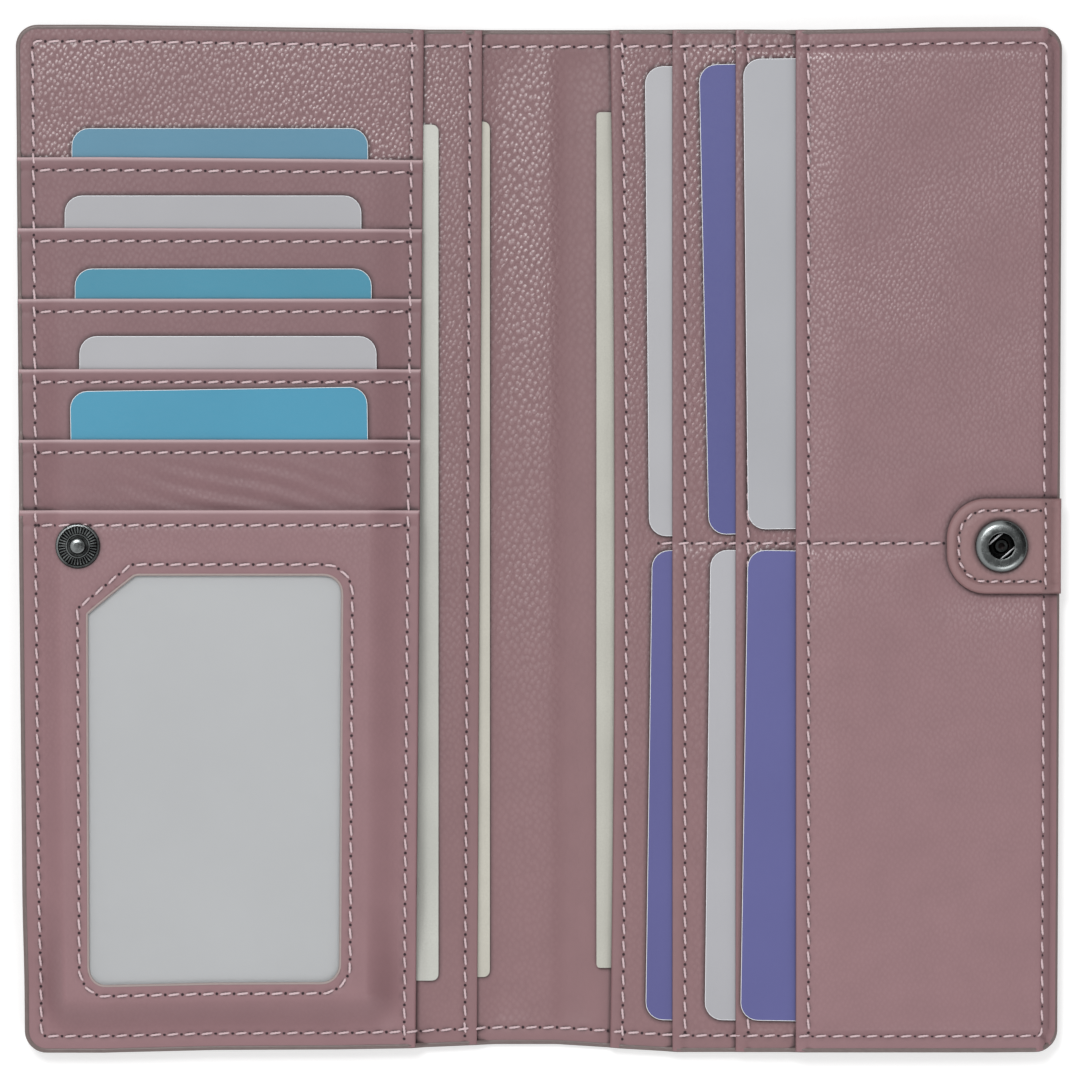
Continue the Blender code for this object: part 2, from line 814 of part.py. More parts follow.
def build_stud():
    """A turned stud with a ring of radial ridges, riveted through the window panel."""
    place = Vector((-snap_offset, snap_height, id_panel_top() + ply_gap))
    stud = turned_piece("snap_stud", scaled(stud_profile_shares, stud_radius, stud_height), place)
    add_metal(stud)
    body = bmesh.new()
    length = ridge_outer - ridge_inner
    floor = stud_height * stud_floor_share
    for index in range(ridge_count):
        made = bmesh.ops.create_cube(body, size=1.0)["verts"]
        size = Matrix.Diagonal((length, ridge_width, 2 * ridge_height, 1.0))
        middle = Matrix.Translation(((ridge_inner + ridge_outer) / 2, 0.0, floor))
        turn = Matrix.Rotation(2 * math.pi * index / ridge_count, 4, "Z")
        bmesh.ops.transform(body, matrix=turn @ middle @ size, verts=made)
    mesh = bpy.data.meshes.new("stud_ridges")
    body.to_mesh(mesh)
    body.free()
    ridges = bpy.data.objects.new("stud_ridges", mesh)
    cutters.objects.link(ridges)
    ridges.location = place
    add_boolean(stud, as_cutter(ridges), "UNION")
    hang(stud, left_pivot)
    foot_low = pane_low()
    barrel_top = id_panel_top()
    profile = [
        (0.0, barrel_top - foot_low),
        (stud_barrel_radius, barrel_top - foot_low),
        (stud_barrel_radius, pane_thickness),
        (stud_foot_radius, pane_thickness),
        (stud_foot_radius, 0.0),
        (0.0, 0.0),
    ]
    eyelet = turned_piece("snap_stud_eyelet", profile, (-snap_offset, snap_height, foot_low))
    add_metal(eyelet)
    hang(eyelet, left_pivot)


def build_socket():
    """A hollow domed socket, the wire spring in its groove and the eyelet that rivets it."""
    low = tab_top() + ply_gap
    profile = scaled(socket_profile_shares, socket_radius, socket_height)
    socket = turned_piece("snap_socket", profile, (snap_offset, snap_height, low), closed=True)
    floor = socket_height * socket_floor_share
    lip = socket_height * socket_lip_share
    spring = build_spring(low + (floor + lip) / 2)
    foot_low = tab_low() - ply_gap - socket_foot_thickness
    top = low + floor + socket_barrel_stand - foot_low
    profile = [
        (socket_barrel_bore, top),
        (socket_barrel_radius, top),
        (socket_barrel_radius, socket_foot_thickness),
        (socket_foot_radius, socket_foot_thickness),
        (socket_foot_radius, 0.0),
        (socket_barrel_bore, 0.0),
    ]
    place = (snap_offset, snap_height, foot_low)
    eyelet = turned_piece("snap_socket_eyelet", profile, place, closed=True)
    for piece in (socket, spring, eyelet):
        add_metal(piece)
        hang(piece, tab_pivot)


def build_spring(middle):
    """One closed wire loop with two straight runs that grip the stud between them."""
    curve = bpy.data.curves.new("snap_spring", "CURVE")
    curve.dimensions = "3D"
    curve.bevel_depth = spring_wire / 2
    curve.bevel_resolution = 2
    spline = curve.splines.new("POLY")
    outline = arc((spring_half_run, 0.0), spring_offset, -1, 1)
    outline += arc((-spring_half_run, 0.0), spring_offset, 1, 3)
    spline.points.add(len(outline) - 1)
    for point, (x, y) in zip(spline.points, outline):
        point.co = (x, y, 0.0, 1.0)
    spline.use_cyclic_u = True
    spring = bpy.data.objects.new("snap_spring", curve)
    parts.objects.link(spring)
    spring.location = (snap_offset, snap_height, middle)
    spring.rotation_euler.z = math.radians(spring_turn)
    bpy.context.view_layer.update()
    return spring


clear_scene()
parts = new_collection("card_wallet")
cutters = new_collection("cutters", hidden=True)
spine_pivot = add_pivot("spine_fold_axis", (crease_x, 0.0, crease_height))
left_pivot = add_pivot("left_fold_axis", (-crease_x, 0.0, crease_height), spine_pivot)
tab_pivot = add_pivot("tab_fold_axis", (tab_crease, snap_height, tab_top() + tab_crease_rise))
build_shell()
build_left_pockets()
build_id_pocket()
build_right_pockets()
build_left_cards()
upper_middles = [card_length / 2 + lift for lift in upper_card_lifts]
lower_middles = [-card_length / 2 - drop for drop in lower_card_drops]
build_right_cards("upper", upper_card_shows, upper_middles, upper_card_turns, upper_card_colours)
build_right_cards("lower", lower_card_shows, lower_middles, lower_card_turns, lower_card_colours)
build_bills()
build_tab()
build_stud()
build_socket()
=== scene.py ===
"""Long bifold card wallet in pebbled leather, lying open on a pale table.

The solids of the wallet give every place and height. Here its leather plies, seams, painted
edges, linings, paper, cards, window and snap fastener get their soft forms and their finish.
"""

import math

import bpy
import numpy as np
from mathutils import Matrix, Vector


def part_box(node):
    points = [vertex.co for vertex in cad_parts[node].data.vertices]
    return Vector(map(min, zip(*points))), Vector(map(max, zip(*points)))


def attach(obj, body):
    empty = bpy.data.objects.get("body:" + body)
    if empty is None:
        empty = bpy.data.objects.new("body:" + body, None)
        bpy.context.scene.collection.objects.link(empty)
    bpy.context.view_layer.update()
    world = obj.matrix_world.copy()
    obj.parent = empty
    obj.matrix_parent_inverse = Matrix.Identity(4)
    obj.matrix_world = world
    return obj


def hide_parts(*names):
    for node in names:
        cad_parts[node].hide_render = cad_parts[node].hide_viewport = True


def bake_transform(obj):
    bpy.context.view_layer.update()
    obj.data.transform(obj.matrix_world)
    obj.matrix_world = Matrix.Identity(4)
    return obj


bl_info = {
    "name": "Bifold Card Wallet",
    "version": (1, 0, 0),
    "blender": (4, 5, 0),
    "location": "View3D > Sidebar > Wallet",
    "description": "Builds a bifold card wallet with slots, window, paper and a snap tab",
    "category": "Object",
}

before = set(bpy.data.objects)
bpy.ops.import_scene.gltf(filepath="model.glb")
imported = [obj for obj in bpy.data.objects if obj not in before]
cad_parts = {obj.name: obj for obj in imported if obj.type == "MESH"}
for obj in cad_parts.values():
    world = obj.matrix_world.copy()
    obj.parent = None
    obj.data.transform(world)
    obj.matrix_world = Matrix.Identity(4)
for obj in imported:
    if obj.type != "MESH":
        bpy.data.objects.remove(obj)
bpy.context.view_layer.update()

MM = 0.001


def cad(node):
    """Lowest and highest corner of a solid, in millimetres."""
    return [np.array(corner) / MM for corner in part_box(node)]


# Outline, creases and heights of the plies, read off the solids, in millimetres
HALF_WIDTH = cad("cover_right")[1][0]
HALF_HEIGHT = cad("cover_right")[1][1]
OUTLINE_RADIUS = 3.8
CREASE_X = 9.05
CREASE_REACH = 3.0
COVER_TOP = cad("cover_right")[1][2]
LINING_LOW = cad("lining_right")[0][2]
LINING_TOP = cad("lining_right")[1][2]
DIVIDER_EDGE = cad("left_divider")[1][0]
CARD_PANEL_EDGE = cad("left_card_panel")[1][0]
RIGHT_PANEL_EDGE = cad("right_panel")[0][0]
DIVIDER_LOW, DIVIDER_TOP = cad("left_divider")[0][2], cad("left_divider")[1][2]
CARD_PANEL_LOW, CARD_PANEL_TOP = cad("left_card_panel")[0][2], cad("left_card_panel")[1][2]
RIGHT_PANEL_LOW, RIGHT_PANEL_TOP = cad("right_panel")[0][2], cad("right_panel")[1][2]

# How the plies are pressed at their seams and rise to the cards, in millimetres
PLY_GAP = 0.05
PRESSED_PITCH = 0.75
SLOT_THICKNESS = 0.35
TEXTILE_THICKNESS = 0.15
FRONT_THICKNESS = 0.6
CARD_THICKNESS = 0.76
SLOT_PITCH = 1.21
SIDE_SEAM, SIDE_RUN = 3.0, 5.3
HEM_SEAM, HEM_RUN = 2.4, 6.9
FOOT_SEAM, FOOT_RUN = 2.4, 8.0
HEAD_SEAM, HEAD_RUN = 1.6, 3.0
RIGHT_SEAM, RIGHT_RUN = 0.9, 2.5
LANDING_SEAM, LANDING_RUN = 2.0, 4.0

# Slots, window, tab and snap, read off the solids, in millimetres
LEFT_COUNT = 5
LEFT_STRIPS = [cad(f"left_slot_{index + 1}") for index in range(LEFT_COUNT)]
LEFT_LININGS = [cad(f"left_slot_lining_{index + 1}") for index in range(LEFT_COUNT)]
RIGHT_STRIPS = [cad(f"right_slot_{index + 1}") for index in range(2)]
RIGHT_LININGS = [cad(f"right_slot_lining_{index + 1}") for index in range(2)]
LAST_CARD_FOOT = cad("left_card_5")[0][1]
ID_MOUTH = cad("id_panel")[1][1]
FRONT_MOUTH = cad("right_front_panel")[0][0]
PANE = cad("id_window_pane")
PANE_LAP = 1.8
WINDOW_LEFT, WINDOW_BOTTOM = PANE[0][0] + PANE_LAP, PANE[0][1] + PANE_LAP
WINDOW_RIGHT, WINDOW_TOP = PANE[1][0] - PANE_LAP, PANE[1][1] - PANE_LAP
WINDOW_RADIUS = 3.3
CUT_WIDTH, CUT_HEIGHT = 9.0, 7.0
TAB = cad("closure_tab")
TAB_LINING = cad("closure_tab_lining")
TAB_RADIUS = 7.3
TAB_CREASE = 91.2
TAB_OVERHANG = 0.35
TAB_REACH = 0.9
STUD, STUD_HOLE = sum(cad("snap_stud")) / 2, 1.3
SOCKET, SOCKET_HOLE = sum(cad("snap_socket")) / 2, 1.42

# Places of the seams, in millimetres
CARD_PANEL_HEM_SEAM = CARD_PANEL_EDGE - 2.1
DIVIDER_HEM_SEAM = DIVIDER_EDGE - 2.2
RIGHT_HEM_SEAM = RIGHT_PANEL_EDGE + 2.2
LEFT_SLOT_SEAM = 2.35
RIGHT_SLOT_SEAM = 2.3
ID_MOUTH_SEAM = 2.73
WINDOW_SEAM = 1.95
DIVIDING_SEAM = -0.7
DIVIDING_START = 21.6
ROOT_SEAM = 92.6
TAB_SEAM = 2.2
SEAM_END = 1.6
SEAM_CLEARANCE = 0.6
SEAM_STEP = 0.1
COVER_GROOVE, TAB_GROOVE = 0.2, 0.22

# Radius to which the free edge of each kind of ply is rolled, in millimetres
STRIP_ROLL, PANEL_ROLL, RIGHT_PANEL_ROLL = 0.22, 0.28, 0.38
FRONT_ROLL, TAB_ROLL, TAB_LINING_ROLL = 0.32, 0.5, 0.35

# Mesh steps of broad, common and finely waved plies, in millimetres
BROAD_STEP, PLY_STEP, FINE_STEP, WRINKLED_STEP = 2.4, 1.5, 0.9, 0.6

# Heights below and above every ply that is cut through, in millimetres
CUT_FROM, CUT_TO = 2.0, 14.0

# Where the grain is calmest, as a share: 1 is a seam or a fold
CALM_MOST = 1.6

# The spine's ridge, with its widths to the left and right, and how far the hollows beside it
# reach across and along, in millimetres
RIDGE_X, RIDGE_WIDTHS = 1.4, (5.0, 2.2)
HOLLOW_HALF, HOLLOW_RUN = 12.2, 5.5
HOLLOW_END, HOLLOW_END_RUN = 1.5, 5.0

# Slack folds in the last left strip: middle, reach, height, length and slant
WRINKLE_X, WRINKLE_REACH = -52.0, 20.0
WRINKLE_HEIGHT, WRINKLE_LENGTH, WRINKLE_SLANT = 0.22, 3.4, 0.28

# Width of the valley of the dividing seam, and how far the front panel and the tab's middle
# are padded, in millimetres
VALLEY_WIDTH = 1.5
FRONT_PUFF, TAB_RISE = 0.5, 0.12

# Form of a stitch: rise and depth of its bow in millimetres, shares of its ends' taper and of
# its two plies' lobes, turns of its plies along it, and lift of the dark disc painted as the
# shade in a needle hole, in millimetres
STITCH_RISE, STITCH_DEPTH = 0.3, 0.18
STITCH_TAPER, STITCH_LOBES, STITCH_TWIST = 0.28, 0.16, 1.6
HOLE_LIFT = 0.06

# Sag of the sewn outline between its corners, as the real one has: places and depths
TOP_SAG = (
    (-95, -80, -62, -45, -20, 8, 35, 50, 62, 72, 86, 95),
    (0.0, 0.0, 0.25, 0.5, 0.85, 0.9, 0.9, 1.05, 0.85, 0.6, 0.5, 0.5),
)
BOTTOM_SAG = (
    (-95, -80, -59, -37, -23, -8, 3, 14, 25, 50, 83, 95),
    (0.0, 0.0, 0.5, 0.6, 0.8, 1.4, 1.4, 0.7, 0.05, 0.1, 0.1, 0.2),
)
SAG_START, SAG_RUN = 40.0, 50.0
HEAD_STRETCH = 0.35
SIDE_DRAW, LEFT_TAPER, RIGHT_TAPER = 0.8, 0.9, 0.45
DRAW_START, DRAW_RUN = 74.0, 20.0
POCKET_LEAN = 0.75
HEM_BOW = 0.8


def length_property(name, value, description):
    """A length field; its value is in metres."""
    return bpy.props.FloatProperty(
        name=name, description=description, default=value, unit="LENGTH"
    )


class WalletSizes(bpy.types.PropertyGroup):
    """Sizes of the work that finishes the wallet's plies."""

    stitch_pitch: length_property("Stitch pitch", 0.0031, "From one needle hole to the next")
    tab_pitch: length_property("Tab stitch pitch", 0.00245, "From hole to hole round the tab")
    stitch_gap: length_property("Stitch gap", 0.00105, "Bare length between two stitches")
    thread_radius: length_property("Thread radius", 0.00026, "Half the thickness of the thread")
    thread_slant: length_property(
        "Thread slant", 0.00012, "How far a stitch's ends lie beside the seam's line"
    )
    hole_radius: length_property("Hole radius", 0.00025, "Radius of a needle hole")
    seam_depth: length_property(
        "Seam depth", 0.00009, "How deep the thread pulls into the leather"
    )
    seam_width: length_property("Seam width", 0.0006, "Half width of the groove along a seam")
    perimeter_inset: length_property(
        "Perimeter inset", 0.0029, "From the wallet's edge to its seam"
    )
    fold_bulge: length_property(
        "Fold bulge", 0.0001, "How proud a folded edge stands before its seam"
    )
    paint_width: length_property(
        "Edge paint width", 0.0007, "How far the edge paint laps onto the top"
    )
    paint_proud: length_property(
        "Edge paint build", 0.00016, "How thick the paint stands off the cut edge"
    )
    spine_sink: length_property(
        "Spine hollows", 0.0006, "How far the spine's lining sinks beside its ridge"
    )
    wave_height: length_property("Wave height", 0.00016, "Height of the soft waves in the plies")
    tab_pad: length_property(
        "Tab margin", 0.00035, "How proud the tab's rim stands outside its seam"
    )
    paper_curl: length_property("Paper curl", 0.00022, "How far the paper's free edge lifts")
    grain_cell: length_property("Pebble size", 0.00112, "From one pebble of the grain to the next")
    grain_height: length_property("Pebble height", 0.0001, "Relief of the pebbled grain")
    card_bevel: length_property("Card edge", 0.00026, "Rounding of the cards' punched edges")


def linear(colour):
    """Linear shares of an sRGB colour written as six hexadecimal digits."""
    shares = [int(colour[start:start + 2], 16) / 255 for start in (1, 3, 5)]
    return tuple(s / 12.92 if s <= 0.04045 else ((s + 0.055) / 1.055) ** 2.4 for s in shares)


def colour_property(name, code, description):
    """A colour field, whose value is given as an sRGB code."""
    return bpy.props.FloatVectorProperty(
        name=name, description=description, subtype="COLOR", size=3, min=0.0, max=1.0,
        default=linear(code),
    )


class WalletColours(bpy.types.PropertyGroup):
    """Colours of the wallet's materials."""

    # Leather, strip, spine, window panel, tab and cover are one leather, each a little lighter or
    # darker to suit how brightly that kind of ply is lit: painted light and shade.
    leather: colour_property("Leather", "#88676a", "Panels and right strips")
    strip: colour_property("Strip leather", "#866569", "Left strips")
    spine: colour_property("Spine leather", "#89686b", "Lining over the spine")
    window_leather: colour_property("Window panel", "#8f6d71", "Panel of the window")
    tab: colour_property("Tab leather", "#927071", "Closing tab")
    cover: colour_property("Cover leather", "#856a6d", "Outer cover")
    textile: colour_property("Lining textile", "#6b5559", "Woven pocket linings")
    thread: colour_property("Thread", "#d2b9bd", "Sewing thread")
    # Painted shade: the dark colour of the discs that stand for the needle holes.
    hole: colour_property("Needle hole", "#35252a", "Depth of a needle hole")
    rim: colour_property("Window rim", "#a59794", "Cut leather round the window")
    paint: colour_property("Edge paint", "#6f615f", "Paint on the cut edges")
    card_core: colour_property("Card core", "#eceef2", "Cut edge of a card")
    window_card: colour_property("Window card", "#d6d8da", "Card behind the window")
    # Painted highlight: a paler colour laid along a folded mouth.
    fold_highlight: colour_property("Fold", "#cbb1b4", "Stretched finish of a folded mouth")
    film: colour_property("Window film", "#e6e8ea", "Clear film of the window")
    plating: colour_property("Plating", "#808484", "Dark plated snap fastener")
    spring: colour_property("Spring wire", "#8d8e90", "Wires of the snap's spring")
    floor: colour_property("Table", "#dcdcdc", "Pale table top")


# Slot and colour of each card
CARD_COLOURS = {
    "left_card_1": ("blue_card", "#4f839c"), "left_card_2": ("grey_card", "#a3a3a7"),
    "left_card_3": ("blue_card", "#3a869f"), "left_card_4": ("grey_card", "#a8a8ac"),
    "left_card_5": ("blue_card", "#4090ae"), "right_upper_card_1": ("grey_card", "#adadb1"),
    "right_upper_card_2": ("violet_card", "#54568d"),
    "right_upper_card_3": ("grey_card", "#a7a8ad"),
    "right_lower_card_1": ("violet_card", "#5b5b91"),
    "right_lower_card_2": ("grey_card", "#acacb1"),
    "right_lower_card_3": ("violet_card", "#5d5e95"),
}

# Leather of each kind of ply: its colour field, and its grain's relief, seed and fineness
# Each ply's colour field is one of the lighter or darker copies of the one leather: painted light
# and shade.
LEATHERS = {
    "panel": ("leather", 0.85, 0.0, 0.86),
    "left_strip": ("strip", 0.25, 23.0, 0.86),
    "right_strip": ("leather", 1.0, 31.0, 1.0),
    "window": ("window_leather", 0.4, 17.0, 0.76),
    "front": ("window_leather", 0.65, 63.0, 0.76),
    "tab": ("tab", 0.4, 7.0, 1.0),
    "lining": ("spine", 0.9, 80.0, 1.0),
    "cover": ("cover", 0.55, 40.0, 0.86),
}

# The sheets of paper: colour, corner radius, side to which they slide, edge of the ply over
# them and share of the curl
# The three sheets are one paper, each a little lighter or darker to suit how brightly it is lit:
# painted light and shade.
SHEETS = {
    "left_front_bill": ("#c5c6bf", 1.2, 1, CARD_PANEL_EDGE, 1.0),
    "left_back_bill": ("#c1beb3", 1.2, 1, DIVIDER_EDGE, 0.0),
    "right_bill": ("#bab9b0", 0.7, -1, RIGHT_PANEL_EDGE, 1.0),
}

# Half side of the table and its height, in millimetres
TABLE_HALF, TABLE_LEVEL = 1500, -0.05

# Camera and lamps in metres, the sensor in millimetres, and the level of the room's light
CAMERA_DISTANCE = 1.6
CAMERA_FOCUS = 0.0025
CAMERA_SHIFT = -0.0001
VIEW_WIDTH = 0.19685
SENSOR_WIDTH = 36.0
LAMP_DISTANCE = 1.4
WORLD_LEVEL = 0.56


def size(name):
    """A size of the finishing work, in millimetres."""
    return getattr(bpy.context.scene.wallet_sizes, name) / MM


def colour(name):
    """A colour of the finishing work, opaque."""
    return (*getattr(bpy.context.scene.wallet_colours, name), 1.0)


# Forms shared by the plies


def ease(share):
    """0 below 0, 1 above 1 and a smooth step between them."""
    share = np.clip(share, 0.0, 1.0)
    return share * share * (3.0 - 2.0 * share)


def climb(distance, seam, run):
    """0 on the pressed seam, 1 where the ply lies flat on the cards."""
    return ease((distance - seam) / run)


def mix(low, high, share):
    """The value that lies a share of the way from low to high."""
    return low + (high - low) * share


def roll(distance, radius):
    """Share of the half thickness that a rounded edge keeps at this distance inside it."""
    inside = 1.0 - np.clip(distance / radius, 0.0, 1.0)
    return np.sqrt(np.maximum(1.0 - inside * inside, 0.03))


def dip(distance, depth=1.0):
    """The groove that a seam pulls, with the leather beside it a little proud."""
    deep, wide = size("seam_depth") * depth, size("seam_width")
    groove = np.exp(-(distance / wide) ** 2)
    shoulder = np.exp(-((np.abs(distance) - 2.2 * wide) / wide) ** 2)
    return deep * (0.15 * shoulder - groove)


def bulge(distance, width):
    """How proud a folded edge stands between its fold and its seam."""
    share = np.clip(distance / width, 0.0, 1.0)
    return size("fold_bulge") * np.maximum(4.0 * share * (1.0 - share), 0.0) ** 0.8


def ripple(x, y, seed, shortest, longest, count):
    """Soft waves of some lengths between 0 and 1, the same at every run."""
    rng = np.random.default_rng(seed)
    total = np.zeros_like(x)
    for length, angle, phase in zip(
        rng.uniform(shortest, longest, count), rng.uniform(0, math.pi, count),
        rng.uniform(0, 2 * math.pi, count),
    ):
        along = x * math.cos(angle) + y * math.sin(angle)
        total += np.sin(2 * math.pi * along / length + phase)
    return np.clip(0.5 + total / count, 0.0, 1.0)


def waves(x, y, seed, shortest=14.0, longest=46.0):
    """The soft waves of a ply, from 0 up to the wave height."""
    return size("wave_height") * ripple(x, y, seed, shortest, longest, 6)


def edge_distance(x, y):
    """How far a place lies inside the wallet's outline."""
    return np.minimum(HALF_WIDTH - np.abs(x), HALF_HEIGHT - np.abs(y))


def perimeter_dip(x, y):
    """The groove of the outer seam."""
    return dip(edge_distance(x, y) - size("perimeter_inset"))


def window_distance(x, y):
    """How far a place lies outside the window's opening, and below 0 inside it."""
    middle_x, middle_y = (WINDOW_LEFT + WINDOW_RIGHT) / 2, (WINDOW_BOTTOM + WINDOW_TOP) / 2
    over_x = np.abs(x - middle_x) - (WINDOW_RIGHT - WINDOW_LEFT) / 2 + WINDOW_RADIUS
    over_y = np.abs(y - middle_y) - (WINDOW_TOP - WINDOW_BOTTOM) / 2 + WINDOW_RADIUS
    outside = np.hypot(np.maximum(over_x, 0.0), np.maximum(over_y, 0.0))
    rounded = outside + np.minimum(np.maximum(over_x, over_y), 0.0) - WINDOW_RADIUS
    long = math.hypot(CUT_WIDTH, CUT_HEIGHT)
    cut = ((WINDOW_LEFT - x) * CUT_HEIGHT + (y - WINDOW_TOP) * CUT_WIDTH) / long
    return np.maximum(rounded, cut + CUT_WIDTH * CUT_HEIGHT / long)


# Height of each ply's face, in millimetres, at places of the flat pattern. Each seam's groove,
# folded mouth and soft wave is faded out where another ply covers it.


def left_fullness(x):
    """0 on the left leaf's side seam and hem seam, 1 where the plies lie on the cards."""
    outer = climb(x + HALF_WIDTH, SIDE_SEAM, SIDE_RUN)
    return outer * climb(CARD_PANEL_EDGE - x, HEM_SEAM, HEM_RUN)


def left_level(index, x):
    """Underside of the ply over the left slot of this index."""
    pressed = CARD_PANEL_TOP + PLY_GAP + index * PRESSED_PITCH
    full = CARD_PANEL_TOP + 2 * PLY_GAP + CARD_THICKNESS + index * SLOT_PITCH
    return mix(pressed, full, left_fullness(x))


def id_fullness(x, y):
    """0 on the window panel's seams, 1 where it lies on what the pocket holds."""
    return left_fullness(x) * climb(y + HALF_HEIGHT, FOOT_SEAM, FOOT_RUN)


def id_level(x, y):
    """Underside of the window panel, which sinks where the slots under it have ended."""
    last = LAST_CARD_FOOT - 0.4 - LANDING_RUN
    at_foot = FOOT_SEAM + FOOT_RUN - HALF_HEIGHT
    sunk = ease((last - y) / (last - at_foot))
    pressed = CARD_PANEL_TOP + PLY_GAP + LEFT_COUNT * PRESSED_PITCH * (1.0 - sunk)
    full = PANE[1][2] + PLY_GAP
    return mix(pressed, full, id_fullness(x, y))


def right_fullness(y):
    """0 on the right leaf's head and foot seams, 1 where the plies lie on the cards."""
    head = climb(HALF_HEIGHT - y, HEAD_SEAM, HEAD_RUN)
    return head * climb(HALF_HEIGHT + y, HEAD_SEAM, HEAD_RUN)


def right_level(index, y):
    """Underside of the ply over the right slot of this index."""
    pressed = RIGHT_PANEL_TOP + PLY_GAP + index * PRESSED_PITCH
    full = RIGHT_PANEL_TOP + 2 * PLY_GAP + CARD_THICKNESS + index * SLOT_PITCH
    return mix(pressed, full, right_fullness(y))


def front_level(x, y):
    """Underside of the front panel, which is pressed down along the wallet's side."""
    pressed = RIGHT_PANEL_TOP + PLY_GAP
    return mix(pressed, right_level(2, y), climb(HALF_WIDTH - x, RIGHT_SEAM, RIGHT_RUN))


def front_top(x, y):
    """The front panel's level face, where its turned edge makes it twice as thick."""
    full = right_fullness(y) * climb(HALF_WIDTH - x, RIGHT_SEAM, RIGHT_RUN)
    return front_level(x, y) + FRONT_THICKNESS * (2.0 - full)


def spine_sink(x, y):
    """The spine is hollow on both sides of a ridge, which falls off quickly to the right. The
    paper slides over it, so nothing stands higher than the lining's level."""
    ridge = np.exp(-((x - RIDGE_X) / np.where(x < RIDGE_X, *RIDGE_WIDTHS)) ** 2)
    across = ease((HOLLOW_HALF - np.abs(x)) / HOLLOW_RUN)
    along = ease((HALF_HEIGHT - np.abs(y) - HOLLOW_END) / HOLLOW_END_RUN)
    return size("spine_sink") * (1.0 - ridge) * across * along


def lining_face(x, y):
    """The lining, with the outer seam where no pocket lies over it."""
    bare = ease((DIVIDER_EDGE * -1.0 - 0.6 - np.abs(x)) / 1.0)
    return LINING_TOP - spine_sink(x, y) + bare * perimeter_dip(x, y)


def divider_face(x, y):
    """The front sheet slides over the divider, so its hem and seam stay below their level."""
    hem = DIVIDER_EDGE - x
    face = DIVIDER_TOP + 0.2 * bulge(hem, DIVIDER_EDGE - DIVIDER_HEM_SEAM)
    face = face + dip(x - DIVIDER_HEM_SEAM, 1.9) * ease((x + 16.5) / 1.0)
    return face - 0.7 * waves(x, y, 11, 9.0, 30.0) * ease((x + 18.0) / 3.0)


def card_panel_face(x, y):
    """The card panel, whose hem is sewn and whose head lies bare above the strips."""
    face = CARD_PANEL_TOP + bulge(CARD_PANEL_EDGE - x, CARD_PANEL_EDGE - CARD_PANEL_HEM_SEAM)
    head = ease((y - 76.0) / 5.0)
    face = face + (perimeter_dip(x, y) + waves(x, y, 12)) * head
    return face + dip(x - CARD_PANEL_HEM_SEAM) * ease((y - LEFT_STRIPS[0][1][1]) / 2.0)


def wrinkles(x, y):
    """Slack folds in the last strip, which run slantwise down to the window panel."""
    slack = np.exp(-((x - WRINKLE_X) / WRINKLE_REACH) ** 2)
    slack = slack * ease((y - 4.5) / 2.5) * ease((15.5 - y) / 5.0)
    bent = y + WRINKLE_SLANT * x + 0.7 * np.sin(x / 6.0)
    return WRINKLE_HEIGHT * slack * np.sin(2 * math.pi * bent / WRINKLE_LENGTH)


def left_strip_face(index, x, y):
    """A left strip, whose seams and waves show only near its mouth."""
    mouth = LEFT_STRIPS[index][1][1]
    flat = left_level(index, x) + SLOT_THICKNESS * (2.0 - left_fullness(x))
    shown = ease((y - mouth + 8.5) / 2.0)
    face = flat + bulge(mouth - y, LEFT_SLOT_SEAM) + dip(mouth - y - LEFT_SLOT_SEAM)
    face = face + shown * 0.8 * waves(x, y, 20 + index, 10.0, 34.0)
    if index == LEFT_COUNT - 1:
        face = face + wrinkles(x, y)
    sides = dip(x - CARD_PANEL_HEM_SEAM) + dip(x + HALF_WIDTH - size("perimeter_inset"))
    return face + shown * sides


def id_panel_face(x, y):
    """The window panel: folded mouth, seams round the opening, and level under the stud."""
    flat = id_level(x, y) + FRONT_THICKNESS * (2.0 - id_fullness(x, y))
    away = window_distance(x, y)
    face = flat + bulge(ID_MOUTH - y, ID_MOUTH_SEAM) + dip(ID_MOUTH - y - ID_MOUTH_SEAM)
    face = face + dip(away - WINDOW_SEAM) + dip(x - CARD_PANEL_HEM_SEAM) + perimeter_dip(x, y)
    snap = ease((np.hypot(x - STUD[0], y - STUD[1]) - 4.4) / 3.0)
    return face + snap * waves(x, y, 31) * ease(away / 4.0)


def right_panel_face(x, y):
    """The right panel, bare from its hem to the first strip."""
    hem = x - RIGHT_PANEL_EDGE
    face = RIGHT_PANEL_TOP + bulge(hem, RIGHT_HEM_SEAM - RIGHT_PANEL_EDGE)
    bare = 1.0 - ease((x - RIGHT_STRIPS[0][0][0] + 8.0) / 5.0)
    face = face + dip(x - RIGHT_HEM_SEAM) + bare * (perimeter_dip(x, y) + 0.6 * waves(x, y, 41))
    return face + 0.6 * dip(y - DIVIDING_SEAM) * ease((x - DIVIDING_START) / 1.0)


def dividing_valley(y, depth):
    """The seam between the two rows of cards pulls the leather into a valley."""
    return -depth * np.exp(-((y - DIVIDING_SEAM) / VALLEY_WIDTH) ** 2)


def right_strip_face(index, x, y):
    """A right strip, whose mouth looks towards the spine."""
    mouth = RIGHT_STRIPS[index][0][0]
    flat = right_level(index, y) + SLOT_THICKNESS * (2.0 - right_fullness(y))
    shown = 1.0 - ease((x - mouth - 5.0) / 2.0)
    face = flat + bulge(x - mouth, RIGHT_SLOT_SEAM) + dip(x - mouth - RIGHT_SLOT_SEAM)
    return face + shown * (perimeter_dip(x, y) + dividing_valley(y, 0.3))


def under_tab(x, y):
    """1 where the closing tab lies on the front panel, fading to 0 round it."""
    across = ease((x - TAB[0][0] + 7.0) / 6.0)
    middle, half = (TAB[0][1] + TAB[1][1]) / 2, (TAB[1][1] - TAB[0][1]) / 2
    return across * (1.0 - ease((np.abs(y - middle) - half - 0.5) / 5.0))


